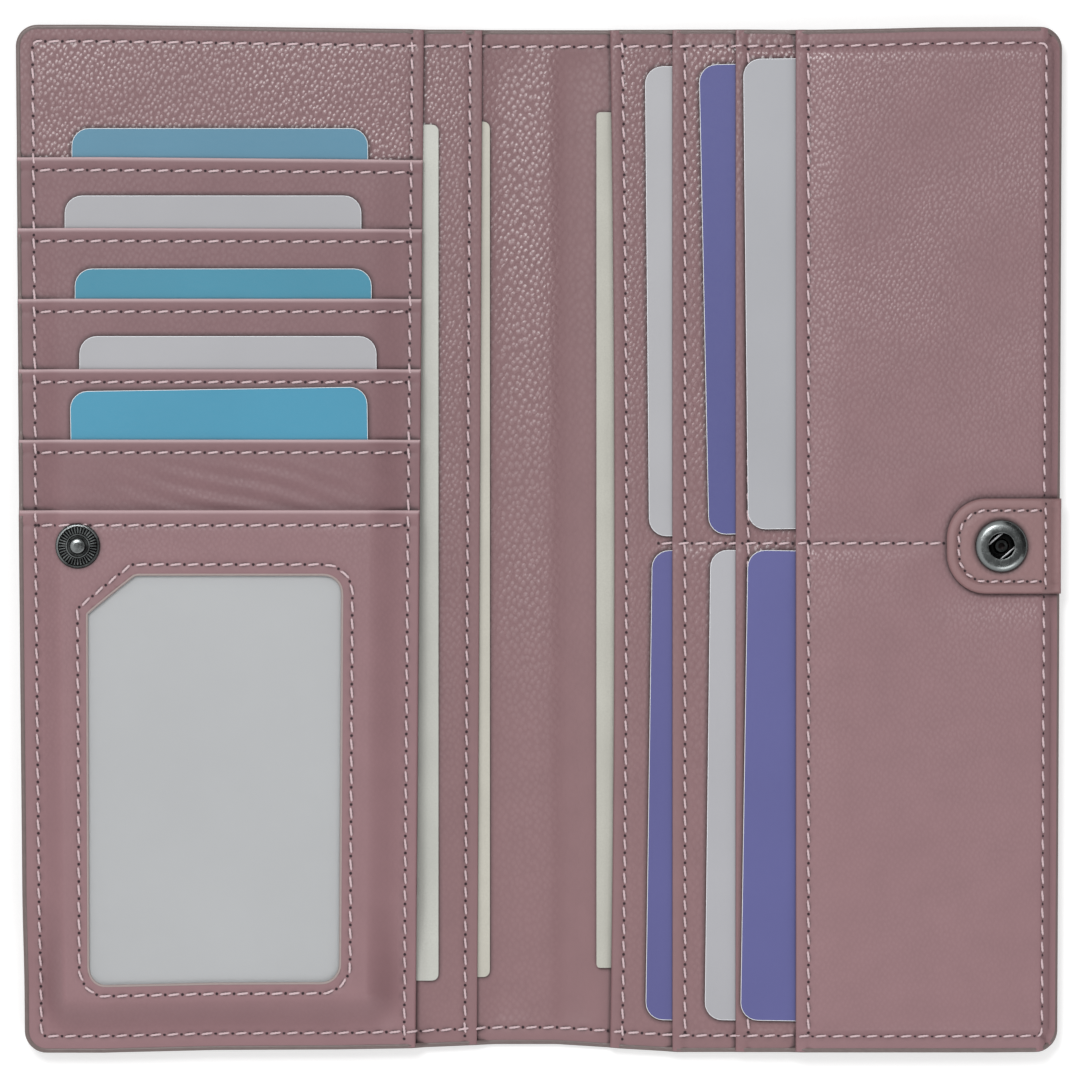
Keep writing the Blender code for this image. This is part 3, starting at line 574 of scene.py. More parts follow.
def front_face(x, y):
    """The front panel, puffed up by the cards, and level under the tab."""
    flat = front_top(x, y)
    free = 1.0 - under_tab(x, y)
    inner = climb(HALF_WIDTH - x, RIGHT_SEAM, RIGHT_RUN) * right_fullness(y)
    puff = ease(np.abs(y - DIVIDING_SEAM) / 15.0) * ease((x - FRONT_MOUTH - 2.0) / 6.0)
    face = flat + bulge(x - FRONT_MOUTH, RIGHT_SLOT_SEAM) + dip(x - FRONT_MOUTH - RIGHT_SLOT_SEAM)
    face = face + free * (perimeter_dip(x, y) + dividing_valley(y, 0.55))
    return face + free * inner * (FRONT_PUFF * puff + 1.4 * waves(x, y, 51, 18.0, 55.0))


def tab_distance(x, y):
    """How far a place lies inside the tab's rounded end and sides."""
    middle, half = (TAB[0][1] + TAB[1][1]) / 2, (TAB[1][1] - TAB[0][1]) / 2
    return np.minimum(x - TAB[0][0], half - np.abs(y - middle))


def tab_face(x, y):
    """The tab is level over the socket and falls with the front panel at the edge."""
    level = front_top(x, 0.0) - front_level(80.0, 0.0)
    base = TAB[1][2] + level - FRONT_THICKNESS
    inset = tab_distance(x, y)
    rim = np.sqrt(np.clip(inset / 1.1, 0.0, 1.0)) * (1.0 - ease((inset - 1.3) / 0.9))
    seam = dip(inset - TAB_SEAM, 1.3) * (1.0 - ease((x - ROOT_SEAM + 0.5) / 0.5))
    root = dip(x - ROOT_SEAM, 1.1)
    rise = TAB_RISE * ease((inset - TAB_SEAM) / 1.6) * (1.0 - ease((x - 89.0) / 2.0))
    socket = ease((np.hypot(x - SOCKET[0], y - SOCKET[1]) - 4.9) / 0.8)
    return base + size("tab_pad") * rim + seam + root + rise * socket


def tab_under(x, y):
    """The tab's underside, which steps onto the front panel at the crease."""
    root = front_top(x, 0.0) + PLY_GAP
    return mix(TAB[0][2], root, ease((x - TAB_CREASE + 0.4) / 0.8))


def left_stack(x, y):
    """Face that is uppermost on the left leaf and the left half of the spine."""
    face = lining_face(x, y)
    face = np.where(x <= DIVIDER_EDGE, divider_face(x, y), face)
    face = np.where(x <= CARD_PANEL_EDGE, card_panel_face(x, y), face)
    for index, (low, high) in enumerate(LEFT_STRIPS):
        here = (x <= CARD_PANEL_EDGE) & (y >= low[1]) & (y <= high[1])
        face = np.where(here, left_strip_face(index, x, y), face)
    here = (x <= CARD_PANEL_EDGE) & (y <= ID_MOUTH)
    return np.where(here, id_panel_face(x, y), face)


def right_stack(x, y):
    """Face that is uppermost on the right leaf and the right half of the spine."""
    face = lining_face(x, y)
    face = np.where(x >= RIGHT_PANEL_EDGE, right_panel_face(x, y), face)
    for index, (low, high) in enumerate(RIGHT_STRIPS):
        here = (x >= low[0]) & (x <= high[0])
        face = np.where(here, right_strip_face(index, x, y), face)
    return np.where(x >= FRONT_MOUTH, front_face(x, y), face)


# Where a place of the flat pattern comes to lie


def round_corners(x, y, low, high, radius):
    """Squeezes each square corner of a box into an arc, and keeps every inset."""
    middle = (low[0] + high[0]) / 2, (low[1] + high[1]) / 2
    inner = (high[0] - low[0]) / 2 - radius, (high[1] - low[1]) / 2 - radius
    over_x = np.abs(x - middle[0]) - inner[0]
    over_y = np.abs(y - middle[1]) - inner[1]
    corner = (over_x > 0) & (over_y > 0)
    share = np.maximum(over_x, over_y) / np.maximum(np.hypot(over_x, over_y), 1e-9)
    new_x = middle[0] + np.sign(x - middle[0]) * (inner[0] + over_x * share)
    new_y = middle[1] + np.sign(y - middle[1]) * (inner[1] + over_y * share)
    return np.where(corner, new_x, x), np.where(corner, new_y, y)


def settle(x, y):
    """The shell: rounded corners, sagging edges and sides that draw in to the foot."""
    outline = (HALF_WIDTH, HALF_HEIGHT)
    new_x, new_y = round_corners(x, y, (-HALF_WIDTH, -HALF_HEIGHT), outline, OUTLINE_RADIUS)
    sag = np.interp(x, *TOP_SAG) - HEAD_STRETCH
    top = sag * ease((y - SAG_START) / SAG_RUN)
    bottom = np.interp(x, *BOTTOM_SAG) * ease((-y - SAG_START) / SAG_RUN)
    return draw_in(new_x, y), new_y - top + bottom


def draw_in(x, y):
    """The filled wallet's sides draw in, more at the foot than at the head."""
    taper = np.where(x < 0.0, LEFT_TAPER, RIGHT_TAPER)
    drawn = SIDE_DRAW - taper * y / HALF_HEIGHT
    return x - np.sign(x) * drawn * ease((np.abs(x) - DRAW_START) / DRAW_RUN)


def settle_left(x, y):
    """Left pockets, whose hems lean a little."""
    new_x, new_y = settle(x, y)
    lean = POCKET_LEAN * (1.0 - 0.35 * ease((x + 20.0) / 8.0)) * ease((x + 60.0) / 38.0)
    return new_x + lean * y / HALF_HEIGHT, new_y


def settle_right(x, y):
    """Right panel, whose hem bows towards the cards in its middle."""
    new_x, new_y = settle(x, y)
    bow = HEM_BOW * (1.0 - (y / HALF_HEIGHT) ** 2) - 0.25
    return new_x + bow * (1.0 - ease((x - 16.0) / 8.0)) * ease((x - 12.0) / 0.5), new_y


def settle_tab(x, y):
    """The tab's rounded end; its far corners stay square at the wallet's edge."""
    high = (2 * HALF_WIDTH, TAB[1][1])
    new_x, new_y = round_corners(x, y, (TAB[0][0], TAB[0][1]), high, TAB_RADIUS)
    return draw_in(new_x, y), new_y


# Meshes


def link_mesh(name, points, faces, sharp=40.0):
    """A new mesh object from points in millimetres."""
    mesh = bpy.data.meshes.new(name)
    mesh.from_pydata((np.asarray(points) * MM).tolist(), [], faces)
    mesh.shade_smooth()
    mesh.set_sharp_from_angle(angle=math.radians(sharp))
    obj = bpy.data.objects.new(name, mesh)
    bpy.context.scene.collection.objects.link(obj)
    return obj


def stations(low, high, marks=(), coarse=BROAD_STEP, rolled=()):
    """Grid places from low to high, close together at seams and at rolled edges."""
    places = list(np.linspace(low, high, max(2, round((high - low) / coarse) + 1)))
    for mark in marks:
        for step in (0.0, 0.22, 0.45, 0.7, 1.05, 1.5):
            places += [mark - step, mark + step]
    for edge, inward in rolled:
        places += [edge + inward * step for step in (0.03, 0.1, 0.2, 0.33, 0.5, 0.8, 1.3, 1.9)]
    places = sorted(place for place in places if low <= place <= high)
    kept = [low]
    for place in places:
        if place - kept[-1] > 0.028:
            kept.append(place)
    kept[-1] = high
    return np.array(kept)


def grid_solid(name, xs, ys, under, face, plan, calm=None, fold_highlight=None):
    """A closed ply on a grid: its underside, its face, where the pattern comes to lie, how
    smooth its grain is and how far a place lies from its folded mouth, which sets the painted
    highlight along that mouth."""
    x, y = np.meshgrid(xs, ys, indexing="ij")
    across, along = x.shape
    count = x.size
    new_x, new_y = plan(x, y)
    top = np.stack([new_x, new_y, face(x, y) + 0.0 * x], -1).reshape(-1, 3)
    low = np.stack([new_x, new_y, under(x, y) + 0.0 * x], -1).reshape(-1, 3)
    index = np.arange(count).reshape(across, along)
    quads = np.stack([index[:-1, :-1], index[1:, :-1], index[1:, 1:], index[:-1, 1:]], -1)
    quads = quads.reshape(-1, 4)
    rim = np.concatenate([index[:, 0], index[-1, 1:], index[-2::-1, -1], index[0, -2:0:-1]])
    after = np.roll(rim, -1)
    walls = np.stack([rim + count, after + count, after, rim], -1)
    faces = np.concatenate([quads, quads[:, ::-1] + count, walls]).tolist()
    obj = link_mesh(name, np.concatenate([top, low]), faces)
    shares = {
        "calm": 0.0 * x if calm is None else np.clip(calm(x, y), 0.0, CALM_MOST),
        # The second share is the painted highlight along a folded mouth: 1 at the fold, 0 from 0.8
        # mm away.
        "fold_highlight": 0.0 * x if fold_highlight is None else 1.0 - ease(fold_highlight(x, y) / 0.8),
    }
    for word, share in shares.items():
        attribute = obj.data.attributes.new(word, "FLOAT", "POINT")
        attribute.data.foreach_set("value", np.tile(share.ravel(), 2).astype(np.float32))
    flat = np.stack([x, y, 0.0 * x], -1).reshape(-1, 3)
    pattern = obj.data.attributes.new("pattern", "FLOAT_VECTOR", "POINT")
    pattern.data.foreach_set("vector", np.tile(flat, (2, 1)).ravel().astype(np.float32))
    return obj


def rolled(under, face, distance, radius):
    """Rounds a ply's free edge: the same underside and face, closed to a roll at the edge."""
    def low(x, y):
        middle, half = (face(x, y) + under(x, y)) / 2, (face(x, y) - under(x, y)) / 2
        return middle - half * roll(distance(x, y), radius)

    def high(x, y):
        middle, half = (face(x, y) + under(x, y)) / 2, (face(x, y) - under(x, y)) / 2
        return middle + half * roll(distance(x, y), radius)

    return low, high


def skin(name, rings, closed):
    """A tube from one row of points for each place round its section."""
    rings = np.asarray(rings)
    around, along = rings.shape[:2]
    index = np.arange(around * along).reshape(around, along)
    nxt = np.roll(index, -1, axis=0)
    if closed:
        quads = np.stack([index, np.roll(index, -1, 1), np.roll(nxt, -1, 1), nxt], -1)
    else:
        quads = np.stack([index[:, :-1], index[:, 1:], nxt[:, 1:], nxt[:, :-1]], -1)
    faces = quads.reshape(-1, 4).tolist()
    if not closed:
        faces += [index[:, 0].tolist(), index[::-1, -1].tolist()]
    return link_mesh(name, rings.reshape(-1, 3), faces, 60.0)


def ring(middle, radius, count=32):
    """Points of a circle in plan, anticlockwise."""
    turn = np.linspace(0.0, 2 * math.pi, count, endpoint=False)
    return np.stack([middle[0] + radius * np.cos(turn), middle[1] + radius * np.sin(turn)], -1)


def cut_through(ply, loop):
    """Cuts the shape of a loop through a ply from top to bottom."""
    count = len(loop)
    points = np.concatenate([
        np.column_stack([loop, np.full(count, height)]) for height in (CUT_FROM, CUT_TO)
    ])
    index = np.arange(count)
    after = np.roll(index, -1)
    walls = np.stack([index, after, after + count, index + count], -1).tolist()
    cutter = link_mesh("cutter", points, walls + [index[::-1].tolist(), (index + count).tolist()])
    boolean = ply.modifiers.new("opening", "BOOLEAN")
    boolean.operation, boolean.solver, boolean.object = "DIFFERENCE", "EXACT", cutter
    graph = bpy.context.evaluated_depsgraph_get()
    mesh = bpy.data.meshes.new_from_object(ply.evaluated_get(graph))
    ply.modifiers.clear()
    ply.data = mesh
    bpy.data.objects.remove(cutter)


def calm_near(*parts):
    """Smoothness of the grain: 1 on each seam or fold that is named, fading beside it."""
    def share(x, y):
        total = np.zeros_like(x)
        for distance, reach in parts:
            total = np.maximum(total, 1.0 - ease((np.abs(distance(x, y)) - reach) / 1.3))
        return total
    return share


# Materials. Noise takes its places, none, its scale and its detail, and the scale is always 1
# over the width of the features in millimetres.


def set_inputs(node, values):
    """Sets each input to its value, or links it to its socket; None leaves it as it is."""
    for name, value in values.items():
        if isinstance(value, bpy.types.NodeSocket):
            node.id_data.links.new(value, node.inputs[name])
        elif value is not None:
            node.inputs[name].default_value = value


def add_node(tree, kind, *inputs, more=(), out=0, **settings):
    """Adds one node with its settings, with inputs in their order and more by name, and gives
    back one of its outputs."""
    node = tree.nodes.new("ShaderNode" + kind)
    for name, value in settings.items():
        setattr(node, name, value)
    set_inputs(node, dict(enumerate(inputs)) | dict(more))
    return node.outputs[out]


def new_material(name, base, roughness, metallic=0.0, ior=1.5, flat=False):
    """A material of its own, with its shader and the object's places in millimetres, or with
    flat those of the cut pattern, which keep to the ply where its form is moved off the pattern."""
    material = bpy.data.materials.new(name)
    material.use_nodes = True
    tree = material.node_tree
    shader = tree.nodes["Principled BSDF"]
    set_inputs(shader, {"Base Color": base, "Roughness": roughness, "Metallic": metallic})
    if metallic == 0.0:
        set_inputs(shader, {"IOR": ior})
    if flat:
        places = add_node(tree, "Attribute", out="Vector", attribute_name="pattern")
    else:
        coords = add_node(tree, "TexCoord", out="Object")
        places = add_node(
            tree, "VectorMath", coords, more={"Scale": 1.0 / MM}, operation="SCALE"
        )
    return material, tree, shader, places


def painted_corner_shade(tree, reach, dark, start=0.35):
    """Painted shade beside a step, from ambient occlusion: dark in the corner, 1 on open faces."""
    near = add_node(
        tree, "AmbientOcclusion", more={"Distance": reach * MM}, out="AO", samples=8
    )
    return add_node(tree, "MapRange", near, start, 1.0, dark, 1.0)


def tint(tree, shader, base, factor, dark, light, shade=None):
    """Base colour that is multiplied from dark to light by a factor socket, and by a shade."""
    share = add_node(tree, "MapRange", factor, 0.0, 1.0, dark, light)
    if shade:
        share = add_node(tree, "Math", share, shade, operation="MULTIPLY")
    scaled = add_node(
        tree, "VectorMath", base[:3], more={"Scale": share}, operation="SCALE"
    )
    set_inputs(shader, {"Base Color": scaled})


def overlay(tree, shader, share, shade):
    """Another colour over the base colour, as far as its share goes."""
    under = shader.inputs["Base Color"].links[0].from_socket
    both = add_node(tree, "Mix", share, more={6: under, 7: shade}, out=2, data_type="RGBA")
    set_inputs(shader, {"Base Color": both})


def emboss(tree, shader, height, distance, strength=1.0):
    """Relief of the surface and its coat by a height socket, this many millimetres high."""
    raised = add_node(tree, "Bump", strength, distance * MM, more={"Height": height})
    set_inputs(shader, {"Normal": raised, "Coat Normal": raised})


def leather(name, base, relief, seed, fineness):
    """Cowhide, embossed with a pebbled grain and sealed with a thin glossy finish: round
    pebbles catch small glints, and the creases between them stay dull. The grain is deepest at
    the wallet's head and is pressed nearly flat at its foot and at the seams. Its colour carries
    painted light: painted highlight on the pebble tops and painted shade in the creases, painted
    shade towards the head and in corners, and a painted highlight along a folded mouth."""
    material, tree, shader, places = new_material(name, base, 0.4, flat=True)
    cell, high = size("grain_cell") * fineness, size("grain_height") * fineness
    stray = add_node(tree, "TexNoise", places, None, 1 / 3.2, 1.0, out="Color")
    bent = add_node(
        tree, "VectorMath", stray, (0.7, 0.7, 0.0), places, operation="MULTIPLY_ADD"
    )
    turn = (0.0, 0.0, math.radians(38.0))
    turned = add_node(tree, "Mapping", bent, (seed, seed * 0.7, 0.0), turn, (1.15, 0.88, 1.0))
    domes, pores = (
        add_node(
            tree, "TexVoronoi", turned, None, share / cell, more={"Randomness": 0.6},
            voronoi_dimensions="2D",
        ) for share in (1.0, 2.6)
    )
    spread = add_node(tree, "Math", domes, domes, operation="MULTIPLY")
    dome = add_node(tree, "MapRange", spread, 0.0, 0.32, 1.0, 0.0)
    pore = add_node(tree, "MapRange", pores, 0.0, 0.6, 0.18, 0.0)
    patch = add_node(tree, "TexNoise", places, None, 1 / 30.0, 2.0)
    loud = add_node(tree, "MapRange", patch, 0.35, 0.65, 0.6, 1.0)
    along = add_node(tree, "SeparateXYZ", places, out="Y")
    head = add_node(
        tree, "MapRange", along, -80.0, 70.0, 0.3, 1.0, interpolation_type="SMOOTHSTEP"
    )
    calm = add_node(tree, "Attribute", out="Fac", attribute_name="calm")
    quiet = add_node(tree, "MapRange", calm, 0.0, CALM_MOST, relief, 0.04 * relief)
    strength = add_node(tree, "Math", loud, head, operation="MULTIPLY")
    strength = add_node(tree, "Math", strength, quiet, operation="MULTIPLY")
    emboss(tree, shader, add_node(tree, "Math", dome, pore, operation="ADD"), high, strength)
    mottle = add_node(tree, "TexNoise", places, None, 1 / 6.0, 3.0)
    spots = add_node(tree, "MapRange", mottle, 0.25, 0.75, -0.2, 0.2)
    spots = add_node(tree, "Math", 0.35, spots, operation="ADD")
    # Painted highlight and shade: the pebble tops are coloured lighter and the creases darker.
    top = add_node(tree, "Math", dome, strength, operation="MULTIPLY")
    factor = add_node(tree, "Math", spots, top, operation="ADD")
    # Painted shade: the colour darkens towards the wallet's head, to 0.87 of the base, and in
    # corners beside steps.
    painted_head_shade = add_node(tree, "MapRange", head, 0.3, 1.0, 1.0, 0.87)
    corner = painted_corner_shade(tree, 1.0, 0.22, 0.5)
    shade = add_node(tree, "Math", corner, painted_head_shade, operation="MULTIPLY")
    tint(tree, shader, base, factor, 0.91, 1.09, shade)
    # Painted highlight: a paler colour laid along a folded mouth.
    fold_highlight = add_node(tree, "Attribute", out="Fac", attribute_name="fold_highlight")
    fold_highlight = add_node(tree, "Math", fold_highlight, 0.8, operation="MULTIPLY")
    overlay(tree, shader, fold_highlight, colour("fold_highlight"))
    set_inputs(shader, {
        "Roughness": add_node(tree, "MapRange", top, 0.0, 0.6, 0.55, 0.36),
        "Coat Weight": add_node(tree, "MapRange", top, 0.1, 0.5, 0.0, 1.0),
        "Coat Roughness": 0.28,
    })
    return material


def textile(name, base):
    """Plain woven polyester, calendered: over and under threads 0.35 mm apart, quite matt."""
    material, tree, shader, places = new_material(name, base, 0.85)
    threads = []
    for axis in ("X", "Y"):
        place = add_node(tree, "SeparateXYZ", places, out=axis)
        turned = add_node(tree, "Math", place, math.pi / 0.35, operation="MULTIPLY")
        threads.append(add_node(tree, "Math", turned, 0.0, operation="SINE"))
    weave = add_node(tree, "Math", *threads, operation="MULTIPLY")
    weave = add_node(tree, "MapRange", weave, -1.0, 1.0, 0.0, 1.0)
    emboss(tree, shader, weave, 0.05)
    tint(tree, shader, base, weave, 0.85, 1.1)
    set_inputs(shader, {"Sheen Weight": 0.2})
    return material


def card_plastic(name, base):
    """Laminated PVC, pressed between satin plates: an even colour with a soft shine, and a
    white core that shows on the punched edge."""
    material, tree, shader, places = new_material(name, base, 0.34, ior=1.53)
    cloud = add_node(tree, "TexNoise", places, None, 1 / 24.0, 2.0)
    speck = add_node(tree, "TexNoise", places, None, 1 / 0.35, 2.0)
    share = add_node(tree, "MapRange", cloud, 0.3, 0.7, 0.0, 1.0)
    # Painted shade: the colour darkens beside steps, such as under a slot's mouth.
    tint(tree, shader, base, share, 0.97, 1.03, painted_corner_shade(tree, 1.8, 0.62))
    normal = add_node(tree, "NewGeometry", out="True Normal")
    upright = add_node(tree, "SeparateXYZ", normal, out="Z")
    upright = add_node(tree, "Math", upright, 0.0, operation="ABSOLUTE")
    core = add_node(tree, "MapRange", upright, 0.93, 0.99, 1.0, 0.0)
    overlay(tree, shader, core, colour("card_core"))
    set_inputs(shader, {"Roughness": add_node(tree, "MapRange", speck, 0.3, 0.7, 0.3, 0.38)})
    emboss(tree, shader, speck, 0.004)
    return material


def paper(name, base):
    """Uncoated wood-pulp paper: matt, with fine fibres and a faint cloudiness."""
    material, tree, shader, places = new_material(name, base, 0.85)
    fibres = add_node(tree, "TexNoise", places, None, 1 / 0.3, 4.0)
    cloud = add_node(tree, "TexNoise", places, None, 1 / 11.0, 2.0)
    share = add_node(tree, "Math", fibres, cloud, operation="MULTIPLY")
    share = add_node(tree, "MapRange", share, 0.1, 0.4, 0.0, 1.0)
    # Painted shade: the colour darkens beside steps, such as under the hems over the paper.
    tint(tree, shader, base, share, 0.92, 1.04, painted_corner_shade(tree, 0.9, 0.6))
    emboss(tree, shader, fibres, 0.02)
    return material


def film(name, base):
    """Clear soft PVC film: a faint milkiness and long soft ripples in a smooth shine."""
    material, tree, shader, places = new_material(name, base, 0.14, ior=1.53)
    emboss(tree, shader, add_node(tree, "TexNoise", places, None, 1 / 16.0, 1.0), 0.35)
    haze = add_node(tree, "TexNoise", places, None, 1 / 5.0, 3.0)
    rough = add_node(tree, "MapRange", haze, 0.3, 0.7, 0.1, 0.2)
    set_inputs(shader, {"Alpha": 0.16, "Roughness": rough})
    return material


def plated(name, base, roughness, recess):
    """Brass with a polished dark nickel plating, with fine turning marks and handling smears.
    Between the two heights of its recess its colour goes from nearly black below to full above,
    where it is rubbed: partly the plating's dark hollows and partly painted shade. Painted shade
    also darkens its corners."""
    material, tree, shader, places = new_material(name, base, roughness, 1.0)
    smear = add_node(tree, "TexNoise", places, None, 1 / 1.6, 3.0)
    rough = add_node(tree, "MapRange", smear, 0.3, 0.7, roughness - 0.07, roughness + 0.09)
    set_inputs(shader, {"Roughness": rough})
    emboss(tree, shader, add_node(tree, "TexNoise", places, None, 1 / 0.12, 2.0), 0.004)
    # Partly the plating's dark hollows, partly painted shade: colour from 0.08 below the recess to
    # full above it.
    level = add_node(tree, "SeparateXYZ", places, out="Z")
    deep = add_node(tree, "MapRange", level, *recess, 0.08, 1.0)
    corner = painted_corner_shade(tree, 1.3, 0.02, 0.6)
    shade = add_node(tree, "Math", corner, deep, operation="MULTIPLY")
    tint(tree, shader, base, smear, 0.9, 1.1, shade)
    return material


def thread_material(name, base):
    """Bonded polyester thread, two plies twisted: silky along the fibres, with fuzz."""
    material, tree, shader, places = new_material(name, base, 0.5)
    fibres = add_node(tree, "TexNoise", places, None, 1 / 0.12, 3.0)
    tint(tree, shader, base, fibres, 0.8, 1.18)
    emboss(tree, shader, fibres, 0.02)
    set_inputs(shader, {"Sheen Weight": 0.3})
    return material


def cut_leather_and_hole_shade(name, base):
    """Leather where it is cut: rough open fibres with nearly no shine. Given a dark colour, it is
    also the painted shade of a needle hole.
    """
    material, tree, shader, places = new_material(name, base, 0.95)
    fibres = add_node(tree, "TexNoise", places, None, 1 / 0.2, 3.0)
    tint(tree, shader, base, fibres, 0.7, 1.2)
    return material


def edge_paint(name, base):
    """Acrylic edge paint, rolled on in coats: rounded, half glossy, slightly uneven."""
    material, tree, shader, places = new_material(name, base, 0.4)
    runs = add_node(tree, "TexNoise", places, None, 1 / 1.4, 3.0)
    tint(tree, shader, base, runs, 0.85, 1.15)
    emboss(tree, shader, runs, 0.06)
    return material


def table_top(name, base):
    """Matt white laminate: a nearly even pale face that only a soft shadow marks."""
    material, tree, shader, places = new_material(name, base, 0.9)
    cloud = add_node(tree, "TexNoise", places, None, 1 / 60.0, 2.0)
    tint(tree, shader, base, cloud, 0.995, 1.005)
    seen = add_node(tree, "LightPath", out="Is Camera Ray")
    strength = add_node(tree, "Math", seen, 0.4, operation="MULTIPLY")
    glow = add_node(tree, "Emission", (1.0, 1.0, 1.0, 1.0), strength)
    both = add_node(tree, "AddShader", shader.outputs["BSDF"], glow)
    set_inputs(tree.nodes["Material Output"], {"Surface": both})
    return material


def kept(maker, name, *settings):
    """A material by name, made once."""
    return bpy.data.materials.get(name) or maker(name, *settings)


def leather_of(word):
    """The leather of one kind of ply."""
    field, *grain = LEATHERS[word]
    return kept(leather, f"leather_pebbled_{word}", colour(field), *grain)


def cover_with(piece, material):
    """Makes this material the only one of a piece."""
    piece.data.materials.clear()
    piece.data.materials.append(material)


def dress(obj, body, material, replaced=()):
    """Gives a piece its material and its body, and hides the solids it stands for; a piece given
    anything but a body's name is only baked in place.
    """
    cover_with(obj, material)
    if isinstance(body, str):
        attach(obj, body)
    else:
        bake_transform(obj)
    if replaced:
        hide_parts(*replaced)
    return obj


def round_edges(piece, width, segments, angle):
    """Welds a solid's mesh, and rounds its edges that are sharper than the angle."""
    piece.modifiers.new("weld", "WELD").merge_threshold = 0.000001
    edges = piece.modifiers.new("rounded_edges", "BEVEL")
    edges.width, edges.segments = width * MM, segments
    edges.limit_method, edges.angle_limit = "ANGLE", math.radians(angle)


def line_slot(word, index, xs, ys, under, plan):
    """A slot's textile lining, laid under its strip down to the card's foot."""
    name = f"{word}_slot_lining_{index + 1}"
    cloth = grid_solid(
        name + "_cloth", xs, ys, under, lambda x, y: under(x, y) + TEXTILE_THICKNESS, plan
    )
    weave = kept(textile, "polyester_woven_lining", colour("textile"))
    dress(cloth, f"{word}_leaf", weave, (name,))


def fold_blend(side):
    """A half of the shell's leaf, the spine and the crease's two ends; dress only bakes a piece
    given these in place, and nothing bends it.
    """
    leaf = "right_leaf" if side > 0 else "left_leaf"
    start, end = CREASE_X + CREASE_REACH, CREASE_X - CREASE_REACH
    return leaf, "spine", (side * start * MM, 0.0, 0.0), (side * end * MM, 0.0, 0.0)


def tab_blend():
    """The tab's body and the leaf's, and the two ends of the tab's root; dress only bakes a piece
    given these in place, and nothing bends it.
    """
    return (
        "closure_tab", "right_leaf", ((TAB_CREASE - TAB_REACH) * MM, 0.0, 0.0),
        ((TAB_CREASE + TAB_REACH) * MM, 0.0, 0.0),
    )


# Stitches


def seam_line(corners, face, plan, smooth=0.9):
    """Dense places along a seam: length so far, place and height, softened over steps."""
    pieces = []
    for (x0, y0), (x1, y1) in zip(corners, corners[1:]):
        count = max(2, round(math.hypot(x1 - x0, y1 - y0) / SEAM_STEP))
        share = np.linspace(0.0, 1.0, count, endpoint=False)
        pieces.append(np.stack([mix(x0, x1, share), mix(y0, y1, share)], -1))
    flat = np.concatenate(pieces + [np.array([corners[-1]])])
    x, y = flat[:, 0], flat[:, 1]
    height = face(x, y) + 0.0 * x
    reach = max(1, round(smooth / SEAM_STEP))
    padded = np.pad(height, reach, mode="edge")
    height = np.convolve(padded, np.ones(2 * reach + 1) / (2 * reach + 1), mode="valid")
    place = np.stack([*plan(x, y), height], -1)
    length = np.concatenate([[0.0], np.cumsum(np.hypot(*np.diff(place[:, :2], axis=0).T))])
    return length, place


def stitched(name, lines, pitch, facing=1.0):
    """Every stitch of some seams as one mesh: twisted thread that dives into its holes.
    The faces from the number that is also given back onwards are dark discs at the holes,
    painted shade of the holes' depth."""
    radius, slant, hole = size("thread_radius"), size("thread_slant"), size("hole_radius")
    along, around = 9, 8
    share = np.linspace(-1.0, 1.0, along)
    points, faces, holes = [], [], []
    turn = np.linspace(0.0, 2 * math.pi, around, endpoint=False)
    first = 0
    for length, place in lines:
        count = max(1, round(length[-1] / pitch))
        step = length[-1] / count
        centres = (np.arange(count) + 0.5) * step
        at = centres[:, None] + share[None, :] * (step - size("stitch_gap")) / 2
        spot = np.stack([np.interp(at, length, place[:, axis]) for axis in range(3)], -1)
        ahead = [np.interp(at + 0.2, length, place[:, axis]) for axis in range(3)]
        behind = [np.interp(at - 0.2, length, place[:, axis]) for axis in range(3)]
        tangent = np.stack(ahead, -1) - np.stack(behind, -1)
        tangent /= np.linalg.norm(tangent, axis=-1, keepdims=True)
        side = np.stack([-tangent[..., 1], tangent[..., 0], 0.0 * tangent[..., 0]], -1)
        side /= np.linalg.norm(side, axis=-1, keepdims=True)
        up = np.cross(tangent, side) * facing
        bow = (1.0 - share ** 2) ** 0.6
        centre = spot + up * (bow * STITCH_RISE - STITCH_DEPTH)[None, :, None]
        centre += side * (slant * share)[None, :, None]
        thick = radius * (1.0 - STITCH_TAPER * share ** 4)
        twist = turn[None, :] - STITCH_TWIST * math.pi * share[:, None]
        lobes = 1.0 - STITCH_LOBES * (1.0 - np.cos(2 * twist))
        reach = thick[:, None] * lobes
        ring = side[:, :, None, :] * (np.cos(turn) * reach)[None, :, :, None]
        ring = ring + up[:, :, None, :] * (np.sin(turn) * reach)[None, :, :, None]
        points.append((centre[:, :, None, :] + ring).reshape(-1, 3))
        index = np.arange(along * around).reshape(along, around)
        nxt = np.roll(index, -1, axis=1)
        quads = np.stack([index[:-1], nxt[:-1], nxt[1:], index[1:]], -1).reshape(-1, 4)
        starts = first + np.arange(count) * along * around
        faces += (quads[None] + starts[:, None, None]).reshape(-1, 4).tolist()
        for end in (index[0, ::-1], index[-1]):
            faces += (end[None] + starts[:, None]).tolist()
        first += count * along * around
        edges = np.arange(count + 1) * step
        holes.append(np.stack([np.interp(edges, length, place[:, a]) for a in range(3)], -1))
    threads = len(faces)
    rim = np.stack([np.cos(turn), np.sin(turn), 0.0 * turn], -1) * hole
    for centres in holes:
        lifted = centres + np.array([0.0, 0.0, HOLE_LIFT * facing])
        points.append((lifted[:, None] + rim[None]).reshape(-1, 3))
        starts = first + np.arange(len(centres)) * around
        order = np.arange(around) if facing > 0 else np.arange(around)[::-1]
        faces += (order[None] + starts[:, None]).tolist()
        first += len(centres) * around
    return link_mesh(name, np.concatenate(points), faces, 80.0), threads


